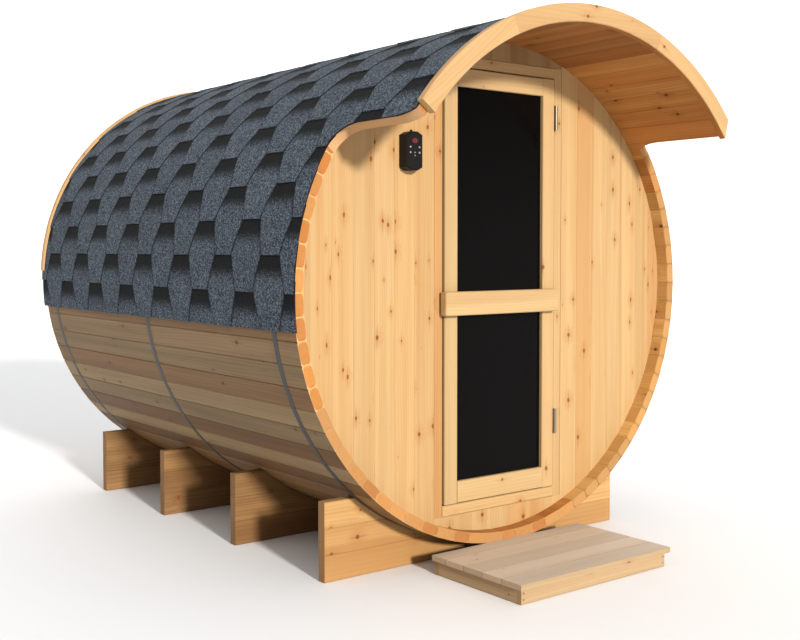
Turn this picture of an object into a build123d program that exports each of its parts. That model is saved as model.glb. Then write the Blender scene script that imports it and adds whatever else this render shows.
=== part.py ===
from build123d import *
import math
import os

# A barrel sauna lying on four cradles, its front towards -Y and its ground at z = 0.
# All lengths are in millimetres and all angles in degrees.
# Depths are measured backwards from the front ring, where the side staves end.
# Angles round the barrel are measured from the top, to the right as seen from the front.

# Barrel
barrel_radius = 1000
barrel_length = 2300
ground_clearance = 67
stave_count = 74
stave_thickness = 40
stave_gap = 0.4
stave_chamfer = 2.5
bead_radius = 9
bead_facets = 4
croze_depth = 10
sector_angle = 45

# Fits
seat_clearance = 0.3
running_gap = 5
cut_overrun = 20

# Canopy: its lower edges are sawn at different heights and leans on the left and on the right.
# The heights are those of the inner edge over the barrel's axis, and the leans are from plumb.
canopy_reach = 422
canopy_left_edge_share = 0.553
canopy_right_edge_share = 0.598
canopy_left_lean = 50
canopy_right_lean = 14
canopy_corner_radius = 120
canopy_left_front_rise = 30
canopy_right_front_rise = 0
canopy_front_run = 90
front_curve_shares = (0.25, 0.5, 0.75)

# Fascia boards
fascia_thickness = 30
fascia_drop = 8
fascia_rise = 4.5
fascia_joint_gap = 0.4
front_left_joint_angle = 24
front_right_joint_angle = 20

# Hoops
hoop_width = 26
hoop_thickness = 1.5
hoop_cradle_gap = 4

# Shingles
shingle_thickness = 3
shingle_exposure = 131
shingle_lap = 44
left_shingle_lip = 14
right_shingle_lip = 0
eave_drop = 135
ridge_cap_width = 200

# Cradles
cradle_names = ("cradle_front", "cradle_front_middle", "cradle_rear_middle", "cradle_rear")
cradle_width_share = 1.54
cradle_rise_share = 0.228
cradle_thickness = 40
first_cradle_depth = 158
last_cradle_inset = 146

# End walls
wall_thickness = 42
wall_recess = 55

# Door leaf and its frame: the shares are of the barrel's radius, the drop from its axis.
leaf_width_share = 0.585
leaf_height_share = 1.667
leaf_drop_share = 0.829
leaf_thickness = 42
leaf_proud = 6
latch_gap = 7
hinge_gap = 5
frame_width = 42
frame_depth = 72
stop_lap = 12
stile_width = 64
top_rail_height = 70
middle_rail_height = 86
bottom_rail_height = 83
pane_thickness = 8
pane_groove_depth = 10

# Crossbar that serves as the door's handle: its rise is a share of the leaf's height.
crossbar_height = 90
crossbar_thickness = 40
crossbar_rise_share = 0.462
crossbar_overhang = 26
crossbar_setback = 15
crossbar_end_radius = 9

# Butt hinges
hinge_height = 100
hinge_radius = 6.5
hinge_facets = 16
hinge_pin_radius = 3
hinge_pin_clearance = 0.05
hinge_plate_depth = 30
hinge_plate_gap = 1
hinge_axis_lead = 7.5
knuckle_gap = 0.4
hinge_lower_inset = 219
hinge_upper_inset = 105

# Floor grating inside the door: its drop from the barrel's axis is a share of the radius.
floor_drop_share = 0.877
grating_margin = 29
slat_count = 5
slat_gap = 15
slat_thickness = 22
bearer_count = 4
bearer_thickness = 40
floor_end_gap = 20

# Control unit on the front wall: its top and its bottom bow out in the middle.
control_width = 75
control_height = 142
control_depth = 47
control_bow = 12
control_flat_share = 0.4
control_ease = 4
control_across_share = 0.47
control_rise_share = 0.506
keypad_margin = 8
keypad_thickness = 1.5

# Entrance step
step_width = 790
step_depth = 475
step_height = 75
deck_thickness = 20
deck_board_width = 97
deck_board_gap = 3
deck_overhang = 15
step_board_thickness = 22

# Worked out from the sizes above
axis_height = barrel_radius + ground_clearance
stave_pitch = 360 / stave_count
facet_turn = 90 - stave_pitch / 2
half_pitch = math.radians(stave_pitch / 2)
outer_flat = barrel_radius * math.cos(half_pitch)
inner_flat = outer_flat - stave_thickness
middle_flat = outer_flat - stave_thickness / 2
groove_radius = inner_flat + croze_depth
wall_radius = groove_radius - seat_clearance
rear_wall_depth = barrel_length - wall_recess - wall_thickness
front_reach = max(canopy_reach + fascia_thickness, step_depth + seat_clearance)
rear_reach = barrel_length + fascia_thickness
ring_y = (front_reach - rear_reach) / 2

ring_plane = Plane(origin=(0, ring_y, axis_height), x_dir=(1, 0, 0), z_dir=(0, -1, 0))
side_plane = Plane(origin=(0, ring_y, axis_height), x_dir=(0, 1, 0), z_dir=(1, 0, 0))
cradle_run = barrel_length - first_cradle_depth - last_cradle_inset - cradle_thickness
cradle_spacing = cradle_run / (len(cradle_names) - 1)
cradle_depths = [first_cradle_depth + n * cradle_spacing for n in range(len(cradle_names))]

canopy_left_edge = barrel_radius * canopy_left_edge_share
canopy_right_edge = barrel_radius * canopy_right_edge_share
left_saw = (-1, canopy_left_edge, canopy_left_lean, canopy_left_front_rise)
right_saw = (1, canopy_right_edge, canopy_right_lean, canopy_right_front_rise)


def at_depth(depth):
    """The barrel's cross-section plane at a depth behind the front ring, facing forwards."""
    return ring_plane.offset(-depth)


def polar(radius, angle):
    """A point of the cross-section at an angle from the top."""
    return (radius * math.sin(math.radians(angle)), radius * math.cos(math.radians(angle)))


def save(builder, name):
    """Label a finished piece and write it to its own file."""
    builder.part.label = name
    export_step(builder.part, f"parts/{name}.step")


def canopy_notch(edge_height, lean, front_rise, lip):
    """Side view of what is sawn away ahead of the ring and below one lower edge of the canopy."""
    edge = edge_height - lip
    reach = canopy_reach + fascia_thickness + cut_overrun
    low = -barrel_radius - barrel_radius / math.tan(math.radians(lean))
    corner = canopy_corner_radius
    front_curve = []
    if front_rise:
        for share in (0, *front_curve_shares, 1):
            front_curve.append((canopy_front_run * (1 - share) - canopy_reach, edge + front_rise * share**2))
    with BuildSketch(side_plane) as notch:
        with BuildLine():
            round_corner = CenterArc((-lip - corner, edge - corner), corner, 0, 90)
            Polyline(
                round_corner @ 1,
                *front_curve,
                (-reach, edge + front_rise),
                (-reach, low),
                (-lip, low),
                round_corner @ 0,
            )
        make_face()
    return notch.sketch


def saw_canopy(saws, lip):
    """Saw the active part along the canopy's lower edges and back to the ring below them."""
    for side, edge_height, lean, front_rise in saws:
        edge_across = math.sqrt(inner_flat**2 - edge_height**2)
        profile = canopy_notch(edge_height, lean, front_rise, lip).moved(Location((side * edge_across, 0, 0)))
        lean_dir = (side * math.sin(math.radians(lean)), 0, math.cos(math.radians(lean)))
        cut_length = barrel_radius / math.sin(math.radians(lean))
        extrude(profile, amount=cut_length, dir=lean_dir, both=True, mode=Mode.SUBTRACT)


def arched_board(inner_radius, outer_radius, first_angle, last_angle, depth):
    """Cross-section of a board that follows the barrel from one angle to another."""
    with BuildSketch(at_depth(depth)) as board:
        with BuildLine():
            outer = CenterArc((0, 0), outer_radius, 90 - last_angle, last_angle - first_angle)
            inner = CenterArc((0, 0), inner_radius, 90 - last_angle, last_angle - first_angle)
            Line(outer @ 0, inner @ 0)
            Line(outer @ 1, inner @ 1)
        make_face()
    return board.sketch


os.makedirs("parts", exist_ok=True)

# Stave section: flat faces, a bead on its right edge and a cove on its left edge.
# The bead of each stave lies in the cove of the next one.
edge_slope = Vector(math.sin(half_pitch), math.cos(half_pitch))
edge_normal = Vector(math.cos(half_pitch), -math.sin(half_pitch))
cove_radius = bead_radius + stave_gap / 2


def edge_point(height):
    """A point of the stave's right bevelled edge at a height above the barrel's axis."""
    return Vector(height * math.tan(half_pitch) - stave_gap / 2, height)


def mirrored(point):
    """The same point on the stave's left edge."""
    return Vector(-point.X, point.Y)


bead_center = edge_point(middle_flat)


def edge_round(radius):
    """Points of a faceted half round about the bead's center, from its top to its bottom."""
    turns = [math.pi * step / bead_facets for step in range(bead_facets + 1)]
    return [
        bead_center + edge_slope * radius * math.cos(turn) + edge_normal * radius * math.sin(turn)
        for turn in turns
    ]


def cove_round(radius):
    """The same half round turned inwards on the left edge, from its bottom to its top."""
    turns = [math.pi * step / bead_facets for step in range(bead_facets + 1)]
    return [
        mirrored(bead_center - edge_slope * radius * math.cos(turn) - edge_normal * radius * math.sin(turn))
        for turn in turns
    ]


eased_corner = Vector(edge_point(outer_flat).X - stave_chamfer, outer_flat)
eased_edge = edge_point(outer_flat - stave_chamfer)
with BuildSketch() as stave_section:
    with BuildLine():
        Polyline(
            eased_corner,
            eased_edge,
            *edge_round(bead_radius),
            edge_point(inner_flat),
            mirrored(edge_point(inner_flat)),
            *cove_round(cove_radius),
            mirrored(eased_edge),
            mirrored(eased_corner),
            close=True,
        )
    make_face()


def stave_turns(numbers):
    """Locations that turn the stave section round the barrel's axis to the given staves."""
    return [Location((0, 0, 0), (0, 0, -number * stave_pitch)) for number in numbers]


def reaches_canopy(number):
    """Whether a stave lies high enough to run on ahead of the ring."""
    from_top = min(number * stave_pitch, 360 - number * stave_pitch)
    top = barrel_radius * math.cos(math.radians(from_top - stave_pitch / 2))
    return top > min(canopy_left_edge, canopy_right_edge) - canopy_corner_radius


stave_groups = (
    "staves_ridge",
    "staves_upper_right",
    "staves_right",
    "staves_lower_right",
    "staves_floor",
    "staves_lower_left",
    "staves_left",
    "staves_upper_left",
)
for sector, group_name in enumerate(stave_groups):
    numbers = [
        number
        for number in range(stave_count)
        if round(number * stave_pitch / sector_angle) % len(stave_groups) == sector
    ]
    long_staves = [number for number in numbers if reaches_canopy(number)]
    short_staves = [number for number in numbers if not reaches_canopy(number)]
    with BuildPart() as staves:
        if long_staves:
            with BuildSketch(at_depth(barrel_length)):
                with Locations(*stave_turns(long_staves)):
                    add(stave_section.sketch)
            extrude(amount=barrel_length + canopy_reach)
            saw_canopy((left_saw, right_saw), 0)
        if short_staves:
            with BuildSketch(at_depth(barrel_length)):
                with Locations(*stave_turns(short_staves)):
                    add(stave_section.sketch)
            extrude(amount=barrel_length)
        for wall_depth in (wall_recess, rear_wall_depth):
            with BuildSketch(at_depth(wall_depth + wall_thickness + seat_clearance)):
                RegularPolygon(groove_radius, stave_count, major_radius=False, rotation=facet_turn)
                Circle(inner_flat - cut_overrun, mode=Mode.SUBTRACT)
            extrude(amount=wall_thickness + 2 * seat_clearance, mode=Mode.SUBTRACT)
    save(staves, group_name)

# Hoops: one ahead of the first cradle, one in the middle bay, one behind the last cradle.
# Each band lies flat on every stave and bends at their joints.
hoop_inner_flat = outer_flat + seat_clearance
hoop_outer_flat = hoop_inner_flat + hoop_thickness
middle_bay_center = (cradle_depths[1] + cradle_depths[2] + cradle_thickness) / 2
hoop_depths = (
    cradle_depths[0] - hoop_cradle_gap - hoop_width,
    middle_bay_center - hoop_width / 2,
    cradle_depths[-1] + cradle_thickness + hoop_cradle_gap,
)
with BuildPart() as hoops:
    for depth in hoop_depths:
        with BuildSketch(at_depth(depth + hoop_width)):
            RegularPolygon(hoop_outer_flat, stave_count, major_radius=False, rotation=facet_turn)
            RegularPolygon(
                hoop_inner_flat,
                stave_count,
                major_radius=False,
                rotation=facet_turn,
                mode=Mode.SUBTRACT,
            )
        extrude(amount=hoop_width)
save(hoops, "hoops")

# Cradles: boards on edge with the barrel's curve cut into their tops.
cradle_width = barrel_radius * cradle_width_share
cradle_height = ground_clearance + barrel_radius * cradle_rise_share
for cradle_name, depth in zip(cradle_names, cradle_depths):
    with BuildPart() as cradle:
        with BuildSketch(at_depth(depth + cradle_thickness)):
            with Locations((0, cradle_height / 2 - axis_height)):
                Rectangle(cradle_width, cradle_height)
            Circle(barrel_radius + seat_clearance, mode=Mode.SUBTRACT)
        extrude(amount=cradle_thickness)
    save(cradle, cradle_name)

# Shingle courses: each strip's butt rides on the strip below it.
# A strip's underside rises from the base radius at its upper end by course_rise at its butt.
shingle_base_radius = hoop_outer_flat / math.cos(half_pitch) + seat_clearance
exposure_angle = math.degrees(shingle_exposure / shingle_base_radius)
strip_angle = math.degrees((shingle_exposure + shingle_lap) / shingle_base_radius)
course_rise = (shingle_thickness + seat_clearance) * strip_angle / exposure_angle
eave_angle = 90 + math.degrees(math.asin(eave_drop / shingle_base_radius))
course_count = int(eave_angle / exposure_angle)
cap_angle = math.degrees(ridge_cap_width / 2 / shingle_base_radius)
ridge_gap_angle = math.degrees(seat_clearance / shingle_base_radius)


def underside_radius(angle, butt_angle):
    """Radius of a course's underside at an angle, for a course whose butt is at butt_angle."""
    return shingle_base_radius + course_rise * (1 - (butt_angle - angle) / strip_angle)


def course_section(upper_angle, lower_angle, butt_angle, side, depth):
    """Cross-section of a course between two angles on the right (1) or left (-1) side."""
    angles = (upper_angle, (upper_angle + lower_angle) / 2, lower_angle)
    radii = [underside_radius(angle, butt_angle) for angle in angles]
    under = [polar(radius, side * angle) for radius, angle in zip(radii, angles)]
    over = [polar(radius + shingle_thickness, side * angle) for radius, angle in zip(radii, angles)]
    with BuildSketch(at_depth(depth)) as section:
        with BuildLine():
            ThreePointArc(*under)
            Line(under[2], over[2])
            ThreePointArc(*over)
            Line(over[0], under[0])
        make_face()
    return section.sketch


# The starter and the lowest course run on under the rear fascia's feet, the others stop at its face.
butt_angles = [eave_angle - number * exposure_angle for number in range(course_count)]
starter_butt_angle = eave_angle + exposure_angle
sides = (
    (1, "shingles_right", right_saw, right_shingle_lip),
    (-1, "shingles_left", left_saw, left_shingle_lip),
)
for side, shingles_name, saw, lip in sides:
    with BuildPart() as shingles:
        strips = [(starter_butt_angle - strip_angle, eave_angle, starter_butt_angle, rear_reach)]
        for butt_angle in butt_angles:
            upper_angle = max(butt_angle - strip_angle, ridge_gap_angle)
            depth = rear_reach if butt_angle == eave_angle else barrel_length
            strips.append((upper_angle, butt_angle, butt_angle, depth))
        for upper_angle, lower_angle, butt_angle, depth in strips:
            extrude(
                course_section(upper_angle, lower_angle, butt_angle, side, depth),
                amount=depth + canopy_reach,
            )
        saw_canopy((saw,), lip)
    save(shingles, shingles_name)

cap_seat_angle = min(cap_angle, butt_angles[-1])
cap_inner_radius = underside_radius(cap_seat_angle, butt_angles[-1]) + shingle_thickness + seat_clearance
cap_outer_radius = cap_inner_radius + shingle_thickness
with BuildPart() as ridge_cap:
    extrude(
        arched_board(cap_inner_radius, cap_outer_radius, -cap_angle, cap_angle, barrel_length),
        amount=barrel_length + canopy_reach,
    )
save(ridge_cap, "ridge_cap")

# Fascia boards: arcs nailed to the ends of the roof staves.
# The front one ends radially on the left and is sawn with the canopy's edge on the right.
fascia_inner_radius = inner_flat - fascia_drop
fascia_outer_radius = cap_outer_radius + fascia_rise
joint_angle = math.degrees(fascia_joint_gap / fascia_outer_radius)
front_left_end = -math.degrees(math.acos((canopy_left_edge + canopy_left_front_rise) / inner_flat))
front_right_end = math.degrees(math.acos(canopy_right_edge / inner_flat)) + stave_pitch
rear_end = eave_angle - strip_angle - joint_angle
front_angles = (front_left_end, -front_left_joint_angle, front_right_joint_angle, front_right_end)
rear_angles = (-rear_end, -rear_end / 2, 0, rear_end / 2, rear_end)


def fascia_boards(angles, depth):
    """Add a row of arched boards, which meet at the given angles, to the active part."""
    for first, last in zip(angles, angles[1:]):
        board = arched_board(fascia_inner_radius, fascia_outer_radius, first, last - joint_angle, depth)
        extrude(board, amount=fascia_thickness)


with BuildPart() as front_fascia:
    fascia_boards(front_angles, -canopy_reach)
    saw_canopy((right_saw,), 0)
save(front_fascia, "front_fascia")

with BuildPart() as rear_fascia:
    fascia_boards(rear_angles, rear_reach)
save(rear_fascia, "rear_fascia")

# Front wall round the door frame, and the plain rear wall.
leaf_width = barrel_radius * leaf_width_share
leaf_height = barrel_radius * leaf_height_share
leaf_bottom = axis_height - barrel_radius * leaf_drop_share
leaf_top = leaf_bottom + leaf_height
opening_width = leaf_width + latch_gap + hinge_gap
opening_left = -opening_width / 2
opening_right = opening_width / 2
opening_bottom = leaf_bottom - running_gap
opening_top = leaf_top + running_gap
frame_left = opening_left - frame_width
frame_right = opening_right + frame_width
frame_bottom = opening_bottom - frame_width
frame_top = opening_top + frame_width
wall_y = ring_y + wall_recess
wall_low = axis_height - barrel_radius
wall_high = axis_height + barrel_radius
wall_fields = (
    ("front_wall_left", -barrel_radius, frame_left, wall_low, wall_high),
    ("front_wall_right", frame_right, barrel_radius, wall_low, wall_high),
    ("front_wall_over_door", frame_left, frame_right, frame_top, wall_high),
    ("front_wall_under_door", frame_left, frame_right, wall_low, frame_bottom),
)
for wall_name, left, right, low, high in wall_fields:
    with BuildPart() as wall:
        with BuildSketch(at_depth(wall_recess + wall_thickness)):
            Circle(wall_radius)
            with Locations(((left + right) / 2, (low + high) / 2 - axis_height)):
                Rectangle(right - left, high - low, mode=Mode.INTERSECT)
        extrude(amount=wall_thickness)
    save(wall, wall_name)

with BuildPart() as rear_wall:
    with BuildSketch(at_depth(rear_wall_depth + wall_thickness)):
        Circle(wall_radius)
    extrude(amount=wall_thickness)
save(rear_wall, "rear_wall")


def block(left, right, front, back, low, high):
    """Add a straight timber between six faces to the active part."""
    with Locations(((left + right) / 2, (front + back) / 2, (low + high) / 2)):
        Box(right - left, back - front, high - low)


def cut_block(left, right, front, back, low, high):
    """Cut a straight slot between six faces out of the active part."""
    with Locations(((left + right) / 2, (front + back) / 2, (low + high) / 2)):
        Box(right - left, back - front, high - low, mode=Mode.SUBTRACT)


# Door frame: four timbers, each with a stop behind the leaf.
stop_y = wall_y - leaf_proud + leaf_thickness + running_gap
frame_back_y = wall_y + frame_depth
stop_left = opening_left + latch_gap + stop_lap
stop_right = opening_right - hinge_gap - stop_lap
stop_bottom = opening_bottom + running_gap + stop_lap
stop_top = opening_top - running_gap - stop_lap

with BuildPart() as jamb_left:
    block(frame_left, opening_left, wall_y, frame_back_y, frame_bottom, frame_top)
    block(opening_left, stop_left, stop_y, frame_back_y, opening_bottom, opening_top)
save(jamb_left, "jamb_left")

with BuildPart() as jamb_right:
    block(opening_right, frame_right, wall_y, frame_back_y, frame_bottom, frame_top)
    block(stop_right, opening_right, stop_y, frame_back_y, opening_bottom, opening_top)
save(jamb_right, "jamb_right")

with BuildPart() as door_head:
    block(opening_left, opening_right, wall_y, frame_back_y, opening_top, frame_top)
    block(stop_left, stop_right, stop_y, frame_back_y, stop_top, opening_top)
save(door_head, "door_head")

with BuildPart() as door_sill:
    block(opening_left, opening_right, wall_y, frame_back_y, frame_bottom, opening_bottom)
    block(stop_left, stop_right, stop_y, frame_back_y, opening_bottom, stop_bottom)
save(door_sill, "door_sill")

# Door leaf: stiles and rails grooved round two panes.
leaf_left = opening_left + latch_gap
leaf_right = opening_right - hinge_gap
leaf_front_y = wall_y - leaf_proud
leaf_back_y = leaf_front_y + leaf_thickness
leaf_middle_y = (leaf_front_y + leaf_back_y) / 2
stile_inner_left = leaf_left + stile_width
stile_inner_right = leaf_right - stile_width
bottom_rail_top = leaf_bottom + bottom_rail_height
top_rail_bottom = leaf_top - top_rail_height
crossbar_middle = leaf_bottom + leaf_height * crossbar_rise_share
middle_rail_bottom = crossbar_middle - middle_rail_height / 2
middle_rail_top = crossbar_middle + middle_rail_height / 2
groove_front_y = leaf_middle_y - pane_thickness / 2 - seat_clearance
groove_back_y = leaf_middle_y + pane_thickness / 2 + seat_clearance
groove_low = bottom_rail_top - pane_groove_depth
groove_high = top_rail_bottom + pane_groove_depth

with BuildPart() as stile_latch:
    block(leaf_left, stile_inner_left, leaf_front_y, leaf_back_y, leaf_bottom, leaf_top)
    groove_left = stile_inner_left - pane_groove_depth
    cut_block(groove_left, stile_inner_left, groove_front_y, groove_back_y, groove_low, groove_high)
save(stile_latch, "door_stile_latch")

with BuildPart() as stile_hinge:
    block(stile_inner_right, leaf_right, leaf_front_y, leaf_back_y, leaf_bottom, leaf_top)
    groove_right = stile_inner_right + pane_groove_depth
    cut_block(stile_inner_right, groove_right, groove_front_y, groove_back_y, groove_low, groove_high)
save(stile_hinge, "door_stile_hinge")

rails = (
    ("door_rail_top", top_rail_bottom, leaf_top, (top_rail_bottom,)),
    ("door_rail_middle", middle_rail_bottom, middle_rail_top, (middle_rail_bottom, middle_rail_top)),
    ("door_rail_bottom", leaf_bottom, bottom_rail_top, (bottom_rail_top,)),
)
for rail_name, low, high, grooved_edges in rails:
    with BuildPart() as rail:
        block(stile_inner_left, stile_inner_right, leaf_front_y, leaf_back_y, low, high)
        for edge in grooved_edges:
            cut_block(
                stile_inner_left,
                stile_inner_right,
                groove_front_y,
                groove_back_y,
                edge - pane_groove_depth,
                edge + pane_groove_depth,
            )
    save(rail, rail_name)

pane_bite = pane_groove_depth - seat_clearance
panes = (
    ("door_pane_upper", middle_rail_top, top_rail_bottom),
    ("door_pane_lower", bottom_rail_top, middle_rail_bottom),
)
for pane_name, low, high in panes:
    with BuildPart() as pane:
        block(
            stile_inner_left - pane_bite,
            stile_inner_right + pane_bite,
            leaf_middle_y - pane_thickness / 2,
            leaf_middle_y + pane_thickness / 2,
            low - pane_bite,
            high + pane_bite,
        )
    save(pane, pane_name)

# Crossbar: a board across the leaf, with its free end rounded for the hand.
crossbar_left = leaf_left - crossbar_overhang
crossbar_right = leaf_right - crossbar_setback
crossbar_bottom = crossbar_middle - crossbar_height / 2
crossbar_top = crossbar_middle + crossbar_height / 2
with BuildPart() as crossbar:
    block(
        crossbar_left,
        crossbar_right,
        leaf_front_y - crossbar_thickness,
        leaf_front_y,
        crossbar_bottom,
        crossbar_top,
    )
    free_end = crossbar.edges().filter_by(Axis.Z).group_by(Axis.X)[0]
    fillet(free_end, radius=crossbar_end_radius)
save(crossbar, "door_crossbar")

# Butt hinges: the frame side has the pin and the outer knuckles, the leaf side the middle one.
hinge_x = leaf_right + hinge_gap / 2
hinge_y = leaf_front_y - hinge_axis_lead
plate_thickness = (hinge_gap - hinge_plate_gap) / 2
knuckle_height = (hinge_height - 2 * knuckle_gap) / 3
hinge_places = (
    ("hinge_lower", leaf_bottom + hinge_lower_inset),
    ("hinge_upper", leaf_top - hinge_upper_inset - hinge_height),
)


def hinge_round(radius, cut, low):
    """Faceted round about the hinge's axis: within the radius, or clear of it for a cut."""
    with BuildSketch(Plane.XY.offset(low)) as hinge_section:
        with Locations((hinge_x, hinge_y)):
            RegularPolygon(radius, hinge_facets, major_radius=not cut)
    return hinge_section.sketch


for hinge_name, low in hinge_places:
    high = low + hinge_height
    middle_low = low + knuckle_height + knuckle_gap
    middle_high = high - knuckle_height - knuckle_gap
    with BuildPart() as frame_side:
        block(
            opening_right - plate_thickness,
            opening_right,
            hinge_y,
            hinge_y + hinge_plate_depth,
            low,
            high,
        )
        notch = hinge_round(hinge_radius + knuckle_gap, True, middle_low - knuckle_gap)
        extrude(notch, amount=middle_high - middle_low + 2 * knuckle_gap, mode=Mode.SUBTRACT)
        for knuckle_low in (low, middle_high + knuckle_gap):
            extrude(hinge_round(hinge_radius, False, knuckle_low), amount=knuckle_height)
        extrude(hinge_round(hinge_pin_radius, False, low), amount=hinge_height)
    save(frame_side, f"{hinge_name}_frame_side")

    with BuildPart() as leaf_side:
        block(leaf_right, leaf_right + plate_thickness, hinge_y, hinge_y + hinge_plate_depth, low, high)
        for notch_low in (low, middle_high):
            notch = hinge_round(hinge_radius + knuckle_gap, True, notch_low)
            extrude(notch, amount=knuckle_height + knuckle_gap, mode=Mode.SUBTRACT)
        extrude(hinge_round(hinge_radius, False, middle_low), amount=middle_high - middle_low)
        bore = hinge_round(hinge_pin_radius + hinge_pin_clearance, True, low)
        extrude(bore, amount=hinge_height, mode=Mode.SUBTRACT)
    save(leaf_side, f"{hinge_name}_leaf_side")

# Floor grating: slats along the barrel on bearers cut to its curve.
floor_drop = barrel_radius * floor_drop_share
floor_top_height = axis_height - floor_drop
grating_width = 2 * math.sqrt(inner_flat**2 - (floor_drop + slat_thickness) ** 2) - 2 * grating_margin
slat_pitch = (grating_width + slat_gap) / slat_count
slat_width = slat_pitch - slat_gap
grating_front_depth = wall_recess + frame_depth + floor_end_gap
grating_length = rear_wall_depth - floor_end_gap - grating_front_depth
grating_y = ring_y + grating_front_depth + grating_length / 2
with BuildPart() as floor_slats:
    with Locations((0, grating_y, floor_top_height - slat_thickness / 2)):
        with GridLocations(slat_pitch, 0, slat_count, 1):
            Box(slat_width, grating_length, slat_thickness)
save(floor_slats, "floor_slats")

bearer_top = floor_top_height - slat_thickness
bearer_spacing = (grating_length - bearer_thickness) / (bearer_count - 1)
with BuildPart() as floor_bearers:
    for number in range(bearer_count):
        back_depth = grating_front_depth + number * bearer_spacing + bearer_thickness
        with BuildSketch(at_depth(back_depth)):
            Circle(inner_flat - seat_clearance)
            with Locations((0, (bearer_top - axis_height - barrel_radius) / 2)):
                Rectangle(grating_width, bearer_top - axis_height + barrel_radius, mode=Mode.INTERSECT)
        extrude(amount=bearer_thickness)
save(floor_bearers, "floor_bearers")

# Control unit: a bowed housing with a keypad face let into its front.
control_plane = Plane(
    origin=(-barrel_radius * control_across_share, wall_y, axis_height + barrel_radius * control_rise_share),
    x_dir=(1, 0, 0),
    z_dir=(0, -1, 0),
)
keypad_plane = control_plane.offset(control_depth - keypad_thickness)


def control_outline(plane, inset):
    """The control unit's outline on a plane, drawn in from its edges by an inset."""
    half_width = control_width / 2 - inset
    half_flat = half_width * control_flat_share
    half_height = control_height / 2 - inset
    shoulder = half_height - control_bow
    upper = [
        (half_width, shoulder),
        (half_flat, half_height),
        (-half_flat, half_height),
        (-half_width, shoulder),
    ]
    lower = [(-across, -height) for across, height in upper]
    with BuildSketch(plane) as outline:
        with BuildLine():
            Polyline(*upper, *lower, close=True)
        make_face()
    return outline.sketch


with BuildPart() as control_housing:
    extrude(control_outline(control_plane, 0), amount=control_depth)
    chamfer(control_housing.faces().sort_by(Axis.Y)[0].edges(), length=control_ease)
    extrude(control_outline(keypad_plane, keypad_margin), amount=keypad_thickness, mode=Mode.SUBTRACT)
save(control_housing, "control_housing")

with BuildPart() as control_keypad:
    extrude(control_outline(keypad_plane, keypad_margin + seat_clearance), amount=keypad_thickness)
save(control_keypad, "control_keypad")

# Entrance step: deck boards on a frame of boards on edge, its back against the ring.
# The rearmost deck board is ripped to what is left of the depth.
step_back_y = ring_y - seat_clearance
step_front_y = step_back_y - step_depth
deck_low = step_height - deck_thickness
deck_pitch = deck_board_width + deck_board_gap
with BuildPart() as step_deck:
    for number in range(math.ceil(step_depth / deck_pitch)):
        front = step_front_y + number * deck_pitch
        back = min(front + deck_board_width, step_back_y)
        block(-step_width / 2, step_width / 2, front, back, deck_low, step_height)
save(step_deck, "step_deck")

frame_half_width = step_width / 2 - deck_overhang
front_board_y = step_front_y + deck_overhang
back_board_y = step_back_y - step_board_thickness
side_front_y = front_board_y + step_board_thickness + seat_clearance
side_back_y = back_board_y - seat_clearance
with BuildPart() as step_frame:
    for board_y in (front_board_y, back_board_y):
        block(-frame_half_width, frame_half_width, board_y, board_y + step_board_thickness, 0, deck_low)
    for left in (-frame_half_width, frame_half_width - step_board_thickness):
        block(left, left + step_board_thickness, side_front_y, side_back_y, 0, deck_low)
save(step_frame, "step_frame")
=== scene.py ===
import logging
import math
from dataclasses import dataclass, field, replace
from enum import Enum
from functools import lru_cache

import bpy
import numpy as np
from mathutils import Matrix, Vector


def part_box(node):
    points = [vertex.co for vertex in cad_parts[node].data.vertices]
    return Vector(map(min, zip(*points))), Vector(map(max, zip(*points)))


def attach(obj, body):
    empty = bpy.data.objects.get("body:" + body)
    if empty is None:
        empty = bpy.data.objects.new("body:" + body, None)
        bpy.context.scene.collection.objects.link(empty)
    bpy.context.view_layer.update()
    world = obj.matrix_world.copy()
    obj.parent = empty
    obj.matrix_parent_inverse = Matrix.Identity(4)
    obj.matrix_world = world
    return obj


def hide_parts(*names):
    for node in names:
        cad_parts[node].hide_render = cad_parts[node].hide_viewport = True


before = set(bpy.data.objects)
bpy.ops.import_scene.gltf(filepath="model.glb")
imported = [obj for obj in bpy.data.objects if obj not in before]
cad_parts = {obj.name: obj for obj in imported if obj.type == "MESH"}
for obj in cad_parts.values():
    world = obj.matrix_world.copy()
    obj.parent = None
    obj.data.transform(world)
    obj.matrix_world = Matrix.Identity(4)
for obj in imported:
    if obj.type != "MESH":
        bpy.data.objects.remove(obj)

# Dresses the barrel sauna: its separate boards, shingle tabs, metalwork, glass, light and camera.
# Lengths are in metres and angles in degrees. Angles round the barrel are measured from its top,
# to the right as seen from the front, and the front faces -Y.

Array = np.ndarray
Colour = tuple[float, float, float, float]
Socket = bpy.types.NodeSocket
Value = Socket | float | Colour | None
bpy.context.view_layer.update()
GRAIN_MAP = "grain"
BOARD_SPAN = 10.0
END_OFFSET = 5.0
log = logging.getLogger("barrel_sauna")


class Side(Enum):
    """The two long sides of the barrel, as seen from the front."""

    LEFT = -1
    RIGHT = 1


class Run(Enum):
    """The direction in which a straight board's grain runs."""

    ACROSS = 0
    DEPTH = 1
    UPRIGHT = 2


def tint(red: int, green: int, blue: int) -> Colour:
    """Turn a screen colour into the linear colour that a shader takes.

    Args:
        red: Red from 0 to 255.
        green: Green from 0 to 255.
        blue: Blue from 0 to 255.

    Returns:
        The linear red, green and blue, and full opacity.
    """
    screen = np.array([red, green, blue]) / 255
    linear = np.where(screen <= 0.04045, screen / 12.92, ((screen + 0.055) / 1.055) ** 2.4)
    return (float(linear[0]), float(linear[1]), float(linear[2]), 1.0)


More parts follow.
